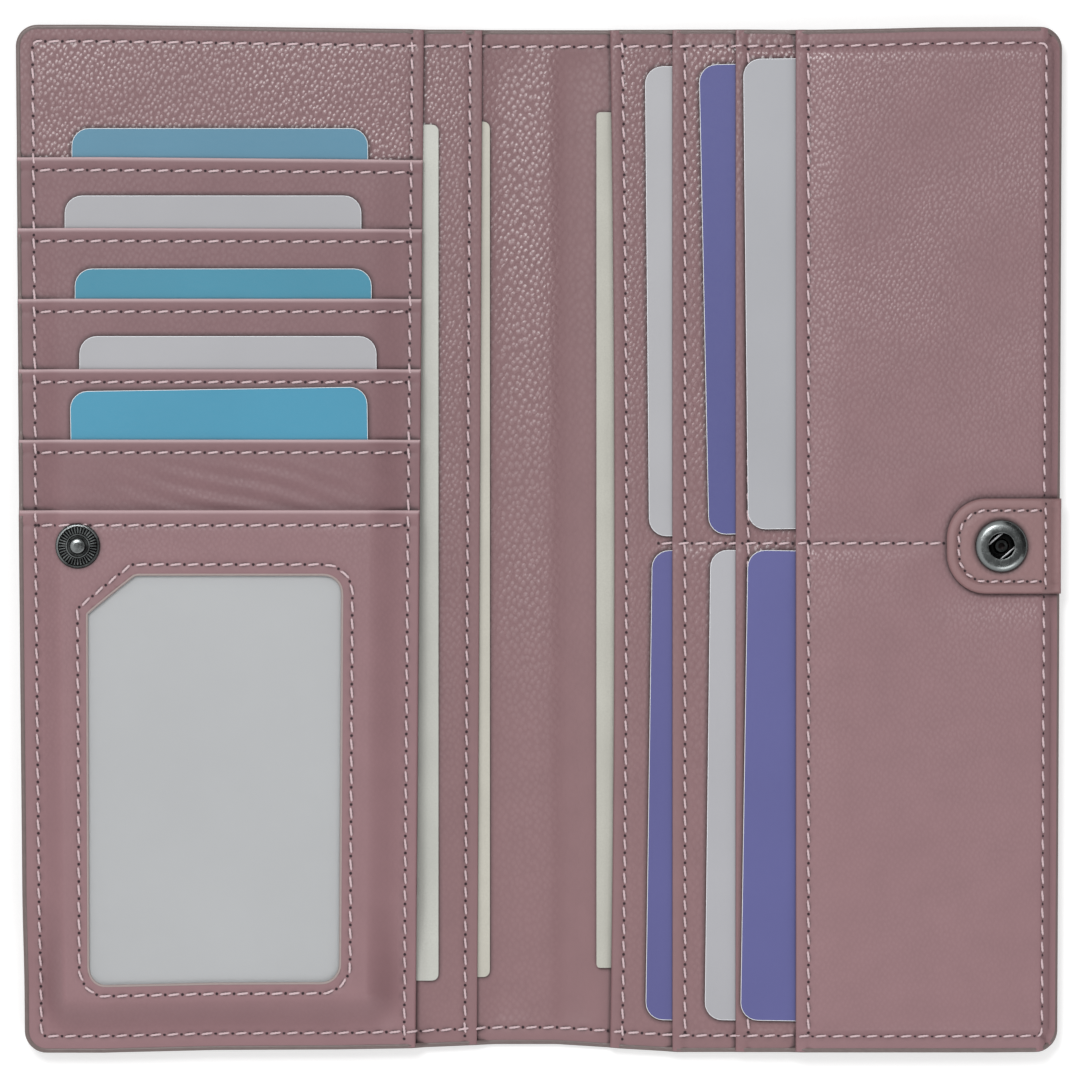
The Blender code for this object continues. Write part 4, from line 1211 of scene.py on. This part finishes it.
def sew(name, lines, body, pitch=None, facing=1.0):
    """A seam's stitches, dressed in thread and in the painted shade of their holes, on the body
    that they join.
    """
    obj, threads = stitched(name, lines, pitch or size("stitch_pitch"), facing)
    dress(obj, body, kept(thread_material, "thread_bonded_polyester", colour("thread")))
    # Painted shade: the hole discs get a dark, matt colour.
    obj.data.materials.append(kept(cut_leather_and_hole_shade, "leather_needle_hole", colour("hole")))
    kinds = np.zeros(len(obj.data.polygons), np.int32)
    kinds[threads:] = 1
    obj.data.polygons.foreach_set("material_index", kinds)
    return obj


# Operators, in the order of the build


class WALLET_OT_shell(bpy.types.Operator):
    """Build the outer cover and the lining, each as two halves from the spine's middle across a
    crease to the edge
    """

    bl_idname = "wallet.shell"
    bl_label = "Cover and lining"

    def execute(self, context):
        inset = size("perimeter_inset")
        edges_y = (inset - HALF_HEIGHT, HALF_HEIGHT - inset)
        for side, word in ((-1, "left"), (1, "right")):
            low_x, high_x = sorted((0.0, side * HALF_WIDTH))
            marks = [side * (HALF_WIDTH - inset), side * CREASE_X, side * 6.0, side * 3.0]
            xs = stations(low_x, high_x, marks)
            ys = stations(-HALF_HEIGHT, HALF_HEIGHT, edges_y)

            def groove(x, y):
                return COVER_GROOVE * np.exp(-((edge_distance(x, y) - inset) / 0.55) ** 2)

            calm = calm_near((edge_distance, inset))
            cover = grid_solid(
                f"cover_{word}_half", xs, ys, groove,
                lambda x, y: COVER_TOP - spine_sink(x, y), settle, calm,
            )
            dress(cover, fold_blend(side), leather_of("cover"),
                  (f"cover_{word}", "cover_spine"))
            lining = grid_solid(
                f"lining_{word}_half", xs, ys,
                lambda x, y: LINING_LOW - spine_sink(x, y), lining_face, settle,
                lambda x, y: np.maximum(calm(x, y), 1.2 * ease((x - 2.6) / 1.6)),
            )
            dress(lining, fold_blend(side), leather_of("lining"),
                  (f"lining_{word}", "lining_spine"))
        return {"FINISHED"}


class WALLET_OT_left_pockets(bpy.types.Operator):
    """Build the divider, the card panel, the five strips and their textile linings"""

    bl_idname = "wallet.left_pockets"
    bl_label = "Left pockets"

    def execute(self, context):
        inset = size("perimeter_inset")
        edges_y = (inset - HALF_HEIGHT, HALF_HEIGHT - inset)
        outer = inset - HALF_WIDTH
        plies = (
            ("left_divider", DIVIDER_EDGE, DIVIDER_HEM_SEAM, DIVIDER_LOW, divider_face),
            ("left_card_panel", CARD_PANEL_EDGE, CARD_PANEL_HEM_SEAM, CARD_PANEL_LOW,
             card_panel_face),
        )
        for name, edge, seam, level, face in plies:
            xs = stations(-HALF_WIDTH, edge, (outer, seam), rolled=((edge, -1),))
            ys = stations(-HALF_HEIGHT, HALF_HEIGHT, edges_y)
            under, over = rolled(lambda x, y: level, face, lambda x, y: edge - x, PANEL_ROLL)
            calm = calm_near((edge_distance, inset), (lambda x, y: edge - x, 1.6))
            ply = grid_solid(name + "_ply", xs, ys, under, over, settle_left, calm)
            dress(ply, "left_leaf", leather_of("panel"), (name,))
        for index in range(LEFT_COUNT):
            self.build_strip(index, outer)
            self.build_lining(index)
        return {"FINISHED"}

    def build_strip(self, index, outer):
        """A strip with a folded mouth, over the textile that wraps the card's foot."""
        bottom, mouth = LEFT_STRIPS[index][0][1], LEFT_STRIPS[index][1][1]
        xs = stations(
            -HALF_WIDTH, CARD_PANEL_EDGE, (outer, CARD_PANEL_HEM_SEAM), PLY_STEP,
            ((CARD_PANEL_EDGE, -1),),
        )
        step = WRINKLED_STEP if index == LEFT_COUNT - 1 else PLY_STEP
        ys = stations(bottom, mouth, (mouth - LEFT_SLOT_SEAM,), step, ((mouth, -1),))
        under, over = rolled(
            lambda x, y: left_level(index, x), lambda x, y: left_strip_face(index, x, y),
            lambda x, y: np.minimum(mouth - y, CARD_PANEL_EDGE - x), STRIP_ROLL,
        )
        calm = calm_near(
            (lambda x, y: mouth - y, 1.5), (lambda x, y: mouth - LEFT_SLOT_SEAM - y, 0.4),
            (lambda x, y: x + HALF_WIDTH, 2.6), (lambda x, y: CARD_PANEL_EDGE - x, 1.6),
        )
        name = f"left_slot_{index + 1}"
        strip = grid_solid(
            name + "_strip", xs, ys, under, over, settle_left, calm, lambda x, y: mouth - y
        )
        dress(strip, "left_leaf", leather_of("left_strip"), (name,))

    def build_lining(self, index):
        """The lining climbs from the card panel to the strip above the card's foot."""
        foot, head = LEFT_LININGS[index][0][1], LEFT_LININGS[index][1][1]

        def under(x, y):
            landed = climb(y - foot, LANDING_SEAM, LANDING_RUN)
            return mix(CARD_PANEL_TOP + PLY_GAP, left_level(index, x), landed)

        xs, ys = stations(-HALF_WIDTH, CARD_PANEL_EDGE), stations(foot, head)
        line_slot("left", index, xs, ys, under, settle_left)


def window_outline(grow, steps=8):
    """The window's outline with its cut corner, made larger by grow, anticlockwise."""
    radius = WINDOW_RADIUS + grow
    left, right = WINDOW_LEFT - grow, WINDOW_RIGHT + grow
    bottom, top = WINDOW_BOTTOM - grow, WINDOW_TOP + grow
    slant = math.atan2(CUT_HEIGHT, CUT_WIDTH)
    head = grow * math.tan(slant / 2)
    flank = grow * math.tan((math.pi / 2 - slant) / 2)
    points = []
    for middle_x, middle_y, start in (
        (left + radius, bottom + radius, 180), (right - radius, bottom + radius, 270),
        (right - radius, top - radius, 0),
    ):
        for step in range(steps + 1):
            angle = math.radians(start + 90 * step / steps)
            points.append((
                middle_x + radius * math.cos(angle), middle_y + radius * math.sin(angle)
            ))
    points.append((WINDOW_LEFT + CUT_WIDTH - head, top))
    points.append((left, WINDOW_TOP - CUT_HEIGHT + flank))
    return points


class WALLET_OT_id_pocket(bpy.types.Operator):
    """Build the window panel, its cut opening with a pressed rim, and the film behind it"""

    bl_idname = "wallet.id_pocket"
    bl_label = "Window pocket"

    def execute(self, context):
        inset = size("perimeter_inset")
        marks_x = (
            inset - HALF_WIDTH, CARD_PANEL_HEM_SEAM, WINDOW_LEFT - WINDOW_SEAM,
            WINDOW_RIGHT + WINDOW_SEAM, SIDE_SEAM + SIDE_RUN - HALF_WIDTH,
            CARD_PANEL_EDGE - HEM_SEAM - HEM_RUN,
        )
        marks_y = (
            inset - HALF_HEIGHT, WINDOW_BOTTOM - WINDOW_SEAM, WINDOW_TOP + WINDOW_SEAM,
            ID_MOUTH - ID_MOUTH_SEAM, FOOT_SEAM + FOOT_RUN - HALF_HEIGHT,
        )
        xs = stations(-HALF_WIDTH, CARD_PANEL_EDGE, marks_x, FINE_STEP, ((CARD_PANEL_EDGE, -1),))
        ys = stations(-HALF_HEIGHT, ID_MOUTH, marks_y, FINE_STEP, ((ID_MOUTH, -1),))
        under, over = rolled(
            id_level, id_panel_face,
            lambda x, y: np.minimum(ID_MOUTH - y, CARD_PANEL_EDGE - x), FRONT_ROLL,
        )
        calm = calm_near(
            (edge_distance, inset), (lambda x, y: ID_MOUTH - y, 1.8),
            (lambda x, y: CARD_PANEL_EDGE - x, 1.8), (window_distance, WINDOW_SEAM),
        )
        panel = grid_solid(
            "window_panel", xs, ys, under, over, settle_left, calm, lambda x, y: ID_MOUTH - y
        )
        self.open_window(panel)
        dress(panel, "left_leaf", leather_of("window"), ("id_panel",))
        self.build_rim()
        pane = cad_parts["id_window_pane"]
        cover_with(pane, kept(film, "pvc_clear_film", colour("film")))
        return {"FINISHED"}

    def open_window(self, panel):
        """Cuts the opening and the stud's hole through the panel."""
        outline = np.array(window_outline(0.0))
        cut_through(panel, np.stack(settle_left(outline[:, 0], outline[:, 1]), -1))
        cut_through(panel, ring(STUD, STUD_HOLE))

    def build_rim(self):
        """The pale cut edge of the opening, pressed round. Each row of its section has an
        offset outwards, a share of the panel's thickness and a lift."""
        outline = window_outline(0.0) + window_outline(0.0)[:1]
        length, place = seam_line(outline, lambda x, y: 0.0, lambda x, y: (x, y))
        count = round(length[-1] / 0.8)
        at = np.linspace(0.0, length[-1], count, endpoint=False)
        x, y = (np.interp(at, length, place[:, axis]) for axis in (0, 1))
        ahead = np.roll(np.stack([x, y]), -1, 1) - np.roll(np.stack([x, y]), 1, 1)
        outward = np.stack([ahead[1], -ahead[0]]) / np.hypot(*ahead)
        low = id_level(x, y)
        high = id_panel_face(x, y)
        rings = []
        for offset, share, lift in (
            (-0.1, 0.1, 0.0), (-0.12, 0.5, 0.0), (-0.08, 0.9, 0.0), (0.05, 1.0, 0.05),
            (0.25, 1.0, 0.045), (0.35, 1.0, -0.03), (0.35, 0.0, 0.02), (0.0, 0.0, 0.02),
        ):
            ring_x, ring_y = settle_left(x + outward[0] * offset, y + outward[1] * offset)
            rings.append(np.stack([ring_x, ring_y, mix(low, high, share) + lift], -1))
        rim = skin("window_rim", rings[::-1], True)
        dress(rim, "left_leaf", kept(cut_leather_and_hole_shade, "leather_cut_rim", colour("rim")))


class WALLET_OT_right_pockets(bpy.types.Operator):
    """Build the right panel, two strips with their linings, and the wide front panel"""

    bl_idname = "wallet.right_pockets"
    bl_label = "Right pockets"

    def execute(self, context):
        inset = size("perimeter_inset")
        marks_y = (inset - HALF_HEIGHT, HALF_HEIGHT - inset, DIVIDING_SEAM)
        outer = HALF_WIDTH - inset
        xs = stations(
            RIGHT_PANEL_EDGE, HALF_WIDTH, (outer, RIGHT_HEM_SEAM), rolled=((RIGHT_PANEL_EDGE, 1),)
        )
        ys = stations(-HALF_HEIGHT, HALF_HEIGHT, marks_y, 2.0)
        hem = RIGHT_PANEL_EDGE
        under, over = rolled(
            lambda x, y: RIGHT_PANEL_LOW, right_panel_face, lambda x, y: x - hem,
            RIGHT_PANEL_ROLL,
        )
        calm = calm_near((edge_distance, inset), (lambda x, y: x - hem, 1.7))
        panel = grid_solid("right_panel_ply", xs, ys, under, over, settle_right, calm)
        dress(panel, "right_leaf", leather_of("panel"), ("right_panel",))
        for index in range(2):
            self.build_strip(index, ys)
            self.build_lining(index, ys)
        xs = stations(
            FRONT_MOUTH, HALF_WIDTH, (outer, FRONT_MOUTH + RIGHT_SLOT_SEAM), 1.6,
            ((FRONT_MOUTH, 1),),
        )
        under, over = rolled(front_level, front_face, lambda x, y: x - FRONT_MOUTH, FRONT_ROLL)
        calm = calm_near(
            (edge_distance, inset), (lambda x, y: x - FRONT_MOUTH, 1.6),
            (lambda x, y: y - DIVIDING_SEAM, 0.6),
        )
        front = grid_solid("front_panel_ply", xs, ys, under, over, settle, calm)
        dress(front, "right_leaf", leather_of("front"), ("right_front_panel",))
        return {"FINISHED"}

    def build_strip(self, index, ys):
        """A strip whose folded mouth looks towards the spine."""
        mouth, far = RIGHT_STRIPS[index][0][0], RIGHT_STRIPS[index][1][0]
        xs = stations(mouth, far, (mouth + RIGHT_SLOT_SEAM,), PLY_STEP, ((mouth, 1),))
        under, over = rolled(
            lambda x, y: right_level(index, y), lambda x, y: right_strip_face(index, x, y),
            lambda x, y: x - mouth, STRIP_ROLL,
        )
        calm = calm_near(
            (lambda x, y: x - mouth, 1.5), (lambda x, y: x - mouth - RIGHT_SLOT_SEAM, 0.4),
            (lambda x, y: HALF_HEIGHT - np.abs(y), 2.6),
        )
        name = f"right_slot_{index + 1}"
        strip = grid_solid(name + "_strip", xs, ys, under, over, settle, calm)
        dress(strip, "right_leaf", leather_of("right_strip"), (name,))

    def build_lining(self, index, ys):
        """The lining climbs from the panel to the strip beside the card's foot."""
        head, foot = RIGHT_LININGS[index][0][0], RIGHT_LININGS[index][1][0]

        def under(x, y):
            landed = climb(foot - x, LANDING_SEAM, LANDING_RUN)
            return mix(RIGHT_PANEL_TOP + PLY_GAP, right_level(index, y), landed)

        line_slot("right", index, stations(head, foot), ys, under, settle)


class WALLET_OT_closing_tab(bpy.types.Operator):
    """Build the closing tab, which bends at its root, and the lining under it"""

    bl_idname = "wallet.closing_tab"
    bl_label = "Closing tab"

    def execute(self, context):
        low_y, high_y = TAB[0][1], TAB[1][1]
        marks_y = (low_y + TAB_SEAM, high_y - TAB_SEAM)
        start, end = TAB[0][0], HALF_WIDTH + TAB_OVERHANG
        xs = stations(
            start, end, (start + TAB_SEAM, ROOT_SEAM), FINE_STEP, ((start, 1), (end, -1))
        )
        ys = stations(low_y, high_y, marks_y, FINE_STEP, ((low_y, 1), (high_y, -1)))
        under, over = rolled(
            tab_under, tab_face, lambda x, y: np.minimum(tab_distance(x, y), end - x), TAB_ROLL
        )
        calm = calm_near((tab_distance, TAB_SEAM), (lambda x, y: x - ROOT_SEAM, 0.8))
        tab = grid_solid("closing_tab_face", xs, ys, under, over, settle_tab, calm)
        cut_through(tab, ring(SOCKET, SOCKET_HOLE))
        dress(tab, tab_blend(), leather_of("tab"),
              ("closure_tab", "closure_tab_root"))

        def groove(x, y):
            valley = np.exp(-((tab_distance(x, y) - TAB_SEAM) / 0.5) ** 2)
            return TAB_LINING[0][2] + TAB_GROOVE * valley

        low, high = TAB_LINING
        xs = stations(low[0], high[0], (start + TAB_SEAM,), FINE_STEP, ((start, 1),))
        under, over = rolled(groove, lambda x, y: high[2], tab_distance, TAB_LINING_ROLL)
        lining = grid_solid("closing_tab_under", xs, ys, under, over, settle_tab, calm)
        cut_through(lining, ring(SOCKET, SOCKET_HOLE))
        dress(lining, "closure_tab", leather_of("lining"),
              ("closure_tab_lining",))
        return {"FINISHED"}


class WALLET_OT_paper(bpy.types.Operator):
    """Build the three sheets of paper in the long pockets, with softly lifted edges"""

    bl_idname = "wallet.paper"
    bl_label = "Paper"

    def execute(self, context):
        for seed, (name, settings) in enumerate(SHEETS.items(), 3):
            code, radius, side, cover, lifted = settings
            low, high = cad(name)

            def curl(x, y):
                bare = ease(side * (x - cover) / 1.6)
                bend = 0.35 + ripple(x, y, seed, 25.0, 70.0, 4)
                return lifted * size("paper_curl") * bare * bend

            free = high[0] if side > 0 else low[0]
            xs = stations(low[0], high[0], (cover,), 3.0, ((free, -side),))
            ys = stations(low[1], high[1], (), 3.0, ((low[1], 1), (high[1], -1)))
            sheet = grid_solid(
                name + "_sheet", xs, ys, lambda x, y: low[2] + curl(x, y),
                lambda x, y: high[2] + curl(x, y),
                lambda x, y: round_corners(x, y, low[:2], high[:2], radius),
            )
            sheet_paper = kept(paper, f"paper_uncoated_{name}", (*linear(code), 1.0))
            dress(sheet, name, sheet_paper, (name,))
        return {"FINISHED"}


class WALLET_OT_edge_paint(bpy.types.Operator):
    """Build the painted edge that closes all plies round the wallet's outline"""

    bl_idname = "wallet.edge_paint"
    bl_label = "Edge paint"

    def execute(self, context):
        for side, word in ((-1, "left"), (1, "right")):
            self.build_half(side, word, left_stack if side < 0 else right_stack)
        return {"FINISHED"}

    def build_half(self, side, word, stack):
        """A bead from the spine's middle round one leaf and back. Each row of its section has
        an inset, a share of the stack's height and a lift."""
        lap, proud = size("paint_width"), size("paint_proud")
        down = np.linspace(0.0, HALF_WIDTH, round(HALF_WIDTH / 0.8))
        up = np.linspace(-HALF_HEIGHT, HALF_HEIGHT, round(2 * HALF_HEIGHT / 0.6))
        x = np.concatenate([down[:-1], np.full(len(up), HALF_WIDTH), down[-2::-1]])
        y = np.concatenate([np.full(len(down) - 1, -HALF_HEIGHT), up,
                            np.full(len(down) - 1, HALF_HEIGHT)])
        x = x * side
        inside_x = np.clip(x, -HALF_WIDTH + 0.4, HALF_WIDTH - 0.4)
        inside_y = np.clip(y, -HALF_HEIGHT + 0.4, HALF_HEIGHT - 0.4)
        top = np.convolve(np.pad(stack(inside_x, inside_y), 1, mode="edge"),
                          np.ones(3) / 3, mode="valid")
        out_x = np.where(np.abs(x) >= HALF_WIDTH - 0.001, np.sign(x), 0.0)
        out_y = np.where(np.abs(y) >= HALF_HEIGHT - 0.001, np.sign(y), 0.0)
        rings = []
        for inset, share, lift in (
            (lap, 1.0, -0.08), (lap * 0.85, 1.0, 0.05), (lap * 0.4, 1.0, 0.07),
            (0.0, 1.0, 0.02), (-proud * 0.8, 1.0, -0.14), (-proud, 1.0, -0.35),
            (-proud, 0.0, 0.4), (-proud * 0.7, 0.0, 0.16), (0.05, 0.0, 0.02),
            (lap * 0.8, 0.0, 0.02), (lap, 0.0, 0.12),
        ):
            bound_x, bound_y = HALF_WIDTH - inset, HALF_HEIGHT - inset
            place = settle(
                np.clip(x - out_x * inset, -bound_x, bound_x),
                np.clip(y - out_y * inset, -bound_y, bound_y),
            )
            rings.append(np.stack([*place, top * share + lift], -1))
        rings = rings if side > 0 else rings[::-1]
        bead = skin(f"edge_paint_{word}", rings, False)
        dress(bead, fold_blend(side), kept(edge_paint, "acrylic_edge_paint", colour("paint")))


class WALLET_OT_seams(bpy.types.Operator):
    """Sew every seam: perimeter, hems, slots, window, dividing seam and tab"""

    bl_idname = "wallet.seams"
    bl_label = "Seams"

    def execute(self, context):
        inset = size("perimeter_inset")
        right, top = HALF_WIDTH - inset, HALF_HEIGHT - inset
        self.sew_perimeter(right, top)
        end = HALF_HEIGHT - SEAM_END
        hems = (
            ("left_card_panel", CARD_PANEL_HEM_SEAM, left_stack, settle_left, "left_leaf"),
            ("left_divider", DIVIDER_HEM_SEAM, divider_face, settle_left, "left_leaf"),
            ("right_panel", RIGHT_HEM_SEAM, right_panel_face, settle_right, "right_leaf"),
        )
        for name, x, face, plan, body in hems:
            line = seam_line([(x, end), (x, -end)], face, plan)
            sew(name + "_hem_thread", [line], body)
        left = inset - HALF_WIDTH + SEAM_CLEARANCE
        hem = CARD_PANEL_HEM_SEAM - SEAM_CLEARANCE
        lines = []
        for index, (_, high) in enumerate(LEFT_STRIPS):
            y = high[1] - LEFT_SLOT_SEAM
            lines.append(seam_line(
                [(left, y), (hem, y)],
                lambda px, py, index=index: left_strip_face(index, px, py), settle_left,
            ))
        sew("left_slot_thread", lines, "left_leaf")
        y = ID_MOUTH - ID_MOUTH_SEAM
        mouth = seam_line([(left, y), (hem, y)], id_panel_face, settle_left)
        outline = window_outline(WINDOW_SEAM)
        window = seam_line(outline + outline[:1], id_panel_face, settle_left)
        sew("window_panel_thread", [mouth, window], "left_leaf")
        mouths = (
            (RIGHT_STRIPS[0][0][0], lambda px, py: right_strip_face(0, px, py)),
            (RIGHT_STRIPS[1][0][0], lambda px, py: right_strip_face(1, px, py)),
            (FRONT_MOUTH, front_face),
        )
        end = top - SEAM_CLEARANCE
        lines = []
        for mouth, face in mouths:
            x = mouth + RIGHT_SLOT_SEAM
            lines.append(seam_line([(x, end), (x, -end)], face, settle))
        dividing = [(DIVIDING_START, DIVIDING_SEAM), (TAB[0][0] - 0.5, DIVIDING_SEAM)]
        lines.append(seam_line(dividing, right_stack, settle))
        sew("right_slot_thread", lines, "right_leaf")
        self.sew_tab()
        return {"FINISHED"}

    def sew_perimeter(self, right, top):
        """The outer seam and its lower threads, in a left and a right half."""
        tab_low, tab_high = TAB[0][1] - SEAM_CLEARANCE, TAB[1][1] + SEAM_CLEARANCE
        left_line = [(0.0, -top), (-right, -top), (-right, top), (0.0, top)]
        sew("perimeter_left_thread", [seam_line(left_line, left_stack, settle)], fold_blend(-1))
        lines = [
            seam_line([(0.0, -top), (right, -top), (right, tab_low)], right_stack, settle),
            seam_line([(right, tab_high), (right, top), (0.0, top)], right_stack, settle),
        ]
        sew("perimeter_right_thread", lines, fold_blend(1))
        for side, word in ((-1, "left"), (1, "right")):
            corners = [(0.0, -top), (side * right, -top), (side * right, top), (0.0, top)]
            line = seam_line(corners, lambda x, y: COVER_GROOVE, settle)
            sew(f"cover_{word}_thread", [line], fold_blend(side), facing=-1.0)

    def sew_tab(self):
        """The tab's seam and root seam, and the lower threads of its free part."""
        low, high = TAB[0][1] + TAB_SEAM, TAB[1][1] - TAB_SEAM
        start, bend = TAB[0][0] + TAB_SEAM, ROOT_SEAM - 0.9
        around = [(bend, high), (start, high), (start, low), (bend, low)]
        root = [(ROOT_SEAM, TAB[1][1] - 1.0), (ROOT_SEAM, TAB[0][1] + 1.0)]
        lines = [seam_line(around, tab_face, settle_tab), seam_line(root, tab_face, settle_tab)]
        sew("tab_thread", lines, tab_blend(), size("tab_pitch"))
        low_line = [(bend - 1.4, high), (start, high), (start, low), (bend - 1.4, low)]
        under = seam_line(low_line, lambda x, y: TAB_LINING[0][2] + TAB_GROOVE, settle_tab)
        sew("tab_under_thread", [under], "closure_tab", size("tab_pitch"), -1.0)


class WALLET_OT_cards(bpy.types.Operator):
    """Finish the cards: rounded punched edges and satin colours with a white core"""

    bl_idname = "wallet.cards"
    bl_label = "Cards"

    def execute(self, context):
        for node, (slot, code) in CARD_COLOURS.items():
            plastic = kept(card_plastic, f"pvc_satin_{node}", (*linear(code), 1.0))
            self.finish_card(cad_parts[node], plastic, slot)
        plastic = kept(card_plastic, "pvc_satin_window_card", colour("window_card"))
        self.finish_card(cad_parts["id_card"], plastic, "white_card")
        return {"FINISHED"}

    def finish_card(self, card, material, slot):
        """Its material and its rounded edge; the card keeps its solid's form."""
        cover_with(card, material)
        round_edges(card, size("card_bevel"), 2, 50.0)


class WALLET_OT_snap(bpy.types.Operator):
    """Finish the snap fastener: plated stud and socket, and the socket's spring wires"""

    bl_idname = "wallet.snap"
    bl_label = "Snap fastener"

    def execute(self, context):
        stud, socket = cad("snap_stud")[0][2], cad("snap_socket")[0][2]
        # Heights between which each part's colour goes from nearly black to full: partly dark
        # hollows, partly painted shade.
        recesses = {
            "stud": (stud + 0.22, stud + 0.42), "stud_eyelet": (stud, stud + 0.1),
            "socket": (socket + 0.5, socket + 1.1), "socket_eyelet": (socket + 0.3, socket + 0.8),
        }
        for word, recess in recesses.items():
            plating = kept(plated, f"nickel_black_{word}", colour("plating"), 0.24, recess)
            self.finish_metal(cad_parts[f"snap_{word}"], plating)
        wire = kept(plated, "steel_spring_wire", colour("spring"), 0.3, (0.0, 0.1))
        round_edges(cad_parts["snap_socket"], 0.08, 3, 35.0)
        self.finish_metal(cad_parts["snap_spring"], wire)
        return {"FINISHED"}

    def finish_metal(self, piece, material):
        """Its plating, and smooth turned faces between sharp edges."""
        cover_with(piece, material)
        piece.data.shade_smooth()
        piece.data.set_sharp_from_angle(angle=math.radians(32.0))


class WALLET_OT_stage(bpy.types.Operator):
    """Set the table, the soft light and the camera above the open wallet"""

    bl_idname = "wallet.stage"
    bl_label = "Stage"

    def execute(self, context):
        scene = context.scene
        corners = [
            (side_x * TABLE_HALF, side_y * TABLE_HALF, TABLE_LEVEL)
            for side_x, side_y in ((-1, -1), (1, -1), (1, 1), (-1, 1))
        ]
        floor = link_mesh("table", corners, [[0, 1, 2, 3]])
        floor.data.materials.append(kept(table_top, "laminate_matt_white", colour("floor")))
        camera = bpy.data.objects.new("camera", bpy.data.cameras.new("camera"))
        scene.collection.objects.link(camera)
        camera.location = (0.0, CAMERA_SHIFT, CAMERA_FOCUS + CAMERA_DISTANCE)
        camera.data.sensor_width = SENSOR_WIDTH
        camera.data.lens = SENSOR_WIDTH * CAMERA_DISTANCE / VIEW_WIDTH
        scene.camera = camera
        self.hang_lamp("key_softbox", (-0.22, 0.42, 1.0), 0.45, 8.2)
        self.hang_lamp("fill_softbox", (0.35, -0.75, 1.0), 0.7, 4.0)
        self.hang_card("card_overhead", "#888888", (
            (-420, -800, 1200), (800, -800, 1200), (800, 420, 1200), (-420, 420, 1200)
        ))
        self.hang_card("card_beside", "#202020", (
            (850, -350, 100), (850, -350, 1200), (200, 900, 1200), (200, 900, 100)
        ))
        self.light_world(scene)
        scene.view_settings.view_transform = "Standard"
        return {"FINISHED"}

    def hang_lamp(self, name, aim, side, watts):
        """A square softbox that looks at the wallet's middle."""
        lamp = bpy.data.objects.new(name, bpy.data.lights.new(name, "AREA"))
        bpy.context.scene.collection.objects.link(lamp)
        lamp.data.shape, lamp.data.size, lamp.data.energy = "SQUARE", side, watts
        aim = Vector(aim).normalized()
        lamp.location = aim * LAMP_DISTANCE
        lamp.rotation_mode = "QUATERNION"
        lamp.rotation_quaternion = (-aim).to_track_quat("-Z", "Y")

    def hang_card(self, name, shade, corners):
        """A dark card that only mirrors see: level faces stay free of a white veil, and the
        metal gets a dark side."""
        card = link_mesh(name, corners, [[0, 1, 2, 3]])
        base = (*linear(shade), 1.0)
        card.data.materials.append(kept(textile, name.replace("card", "molton"), base))
        card.visible_camera = card.visible_diffuse = card.visible_shadow = False
        card.visible_transmission = False

    def light_world(self, scene):
        """White to the camera, mirrors and clear film; a plain soft level for the rest."""
        world = bpy.data.worlds.new("studio")
        scene.world = world
        world.use_nodes = True
        tree = world.node_tree
        camera, mirror, clear = (
            add_node(tree, "LightPath", out=f"Is {word} Ray")
            for word in ("Camera", "Glossy", "Transmission")
        )
        seen = add_node(tree, "Math", camera, mirror, operation="MAXIMUM")
        seen = add_node(tree, "Math", seen, clear, operation="MAXIMUM")
        strength = add_node(tree, "MapRange", seen, 0.0, 1.0, WORLD_LEVEL, 1.0)
        white = (1.0, 1.0, 1.0, 1.0)
        set_inputs(tree.nodes["Background"], {"Color": white, "Strength": strength})


OPERATORS = (
    WALLET_OT_shell, WALLET_OT_left_pockets, WALLET_OT_id_pocket, WALLET_OT_right_pockets,
    WALLET_OT_closing_tab, WALLET_OT_paper, WALLET_OT_edge_paint, WALLET_OT_seams,
    WALLET_OT_cards, WALLET_OT_snap, WALLET_OT_stage,
)


class WALLET_PT_pieces(bpy.types.Panel):
    """Lists the wallet's pieces in the order in which they are built"""

    bl_idname = "WALLET_PT_pieces"
    bl_label = "Bifold Card Wallet"
    bl_space_type = "VIEW_3D"
    bl_region_type = "UI"
    bl_category = "Wallet"

    def draw(self, context):
        for operator in OPERATORS:
            self.layout.operator(operator.bl_idname)


CLASSES = (WalletSizes, WalletColours, *OPERATORS, WALLET_PT_pieces)


def register():
    for item in CLASSES:
        bpy.utils.register_class(item)
    bpy.types.Scene.wallet_sizes = bpy.props.PointerProperty(type=WalletSizes)
    bpy.types.Scene.wallet_colours = bpy.props.PointerProperty(type=WalletColours)


def unregister():
    del bpy.types.Scene.wallet_colours
    del bpy.types.Scene.wallet_sizes
    for item in reversed(CLASSES):
        bpy.utils.unregister_class(item)


def main():
    """Builds every piece in order."""
    register()
    for operator in OPERATORS:
        group, name = operator.bl_idname.split(".")
        getattr(getattr(bpy.ops, group), name)()


if __name__ == "__main__":
    main()
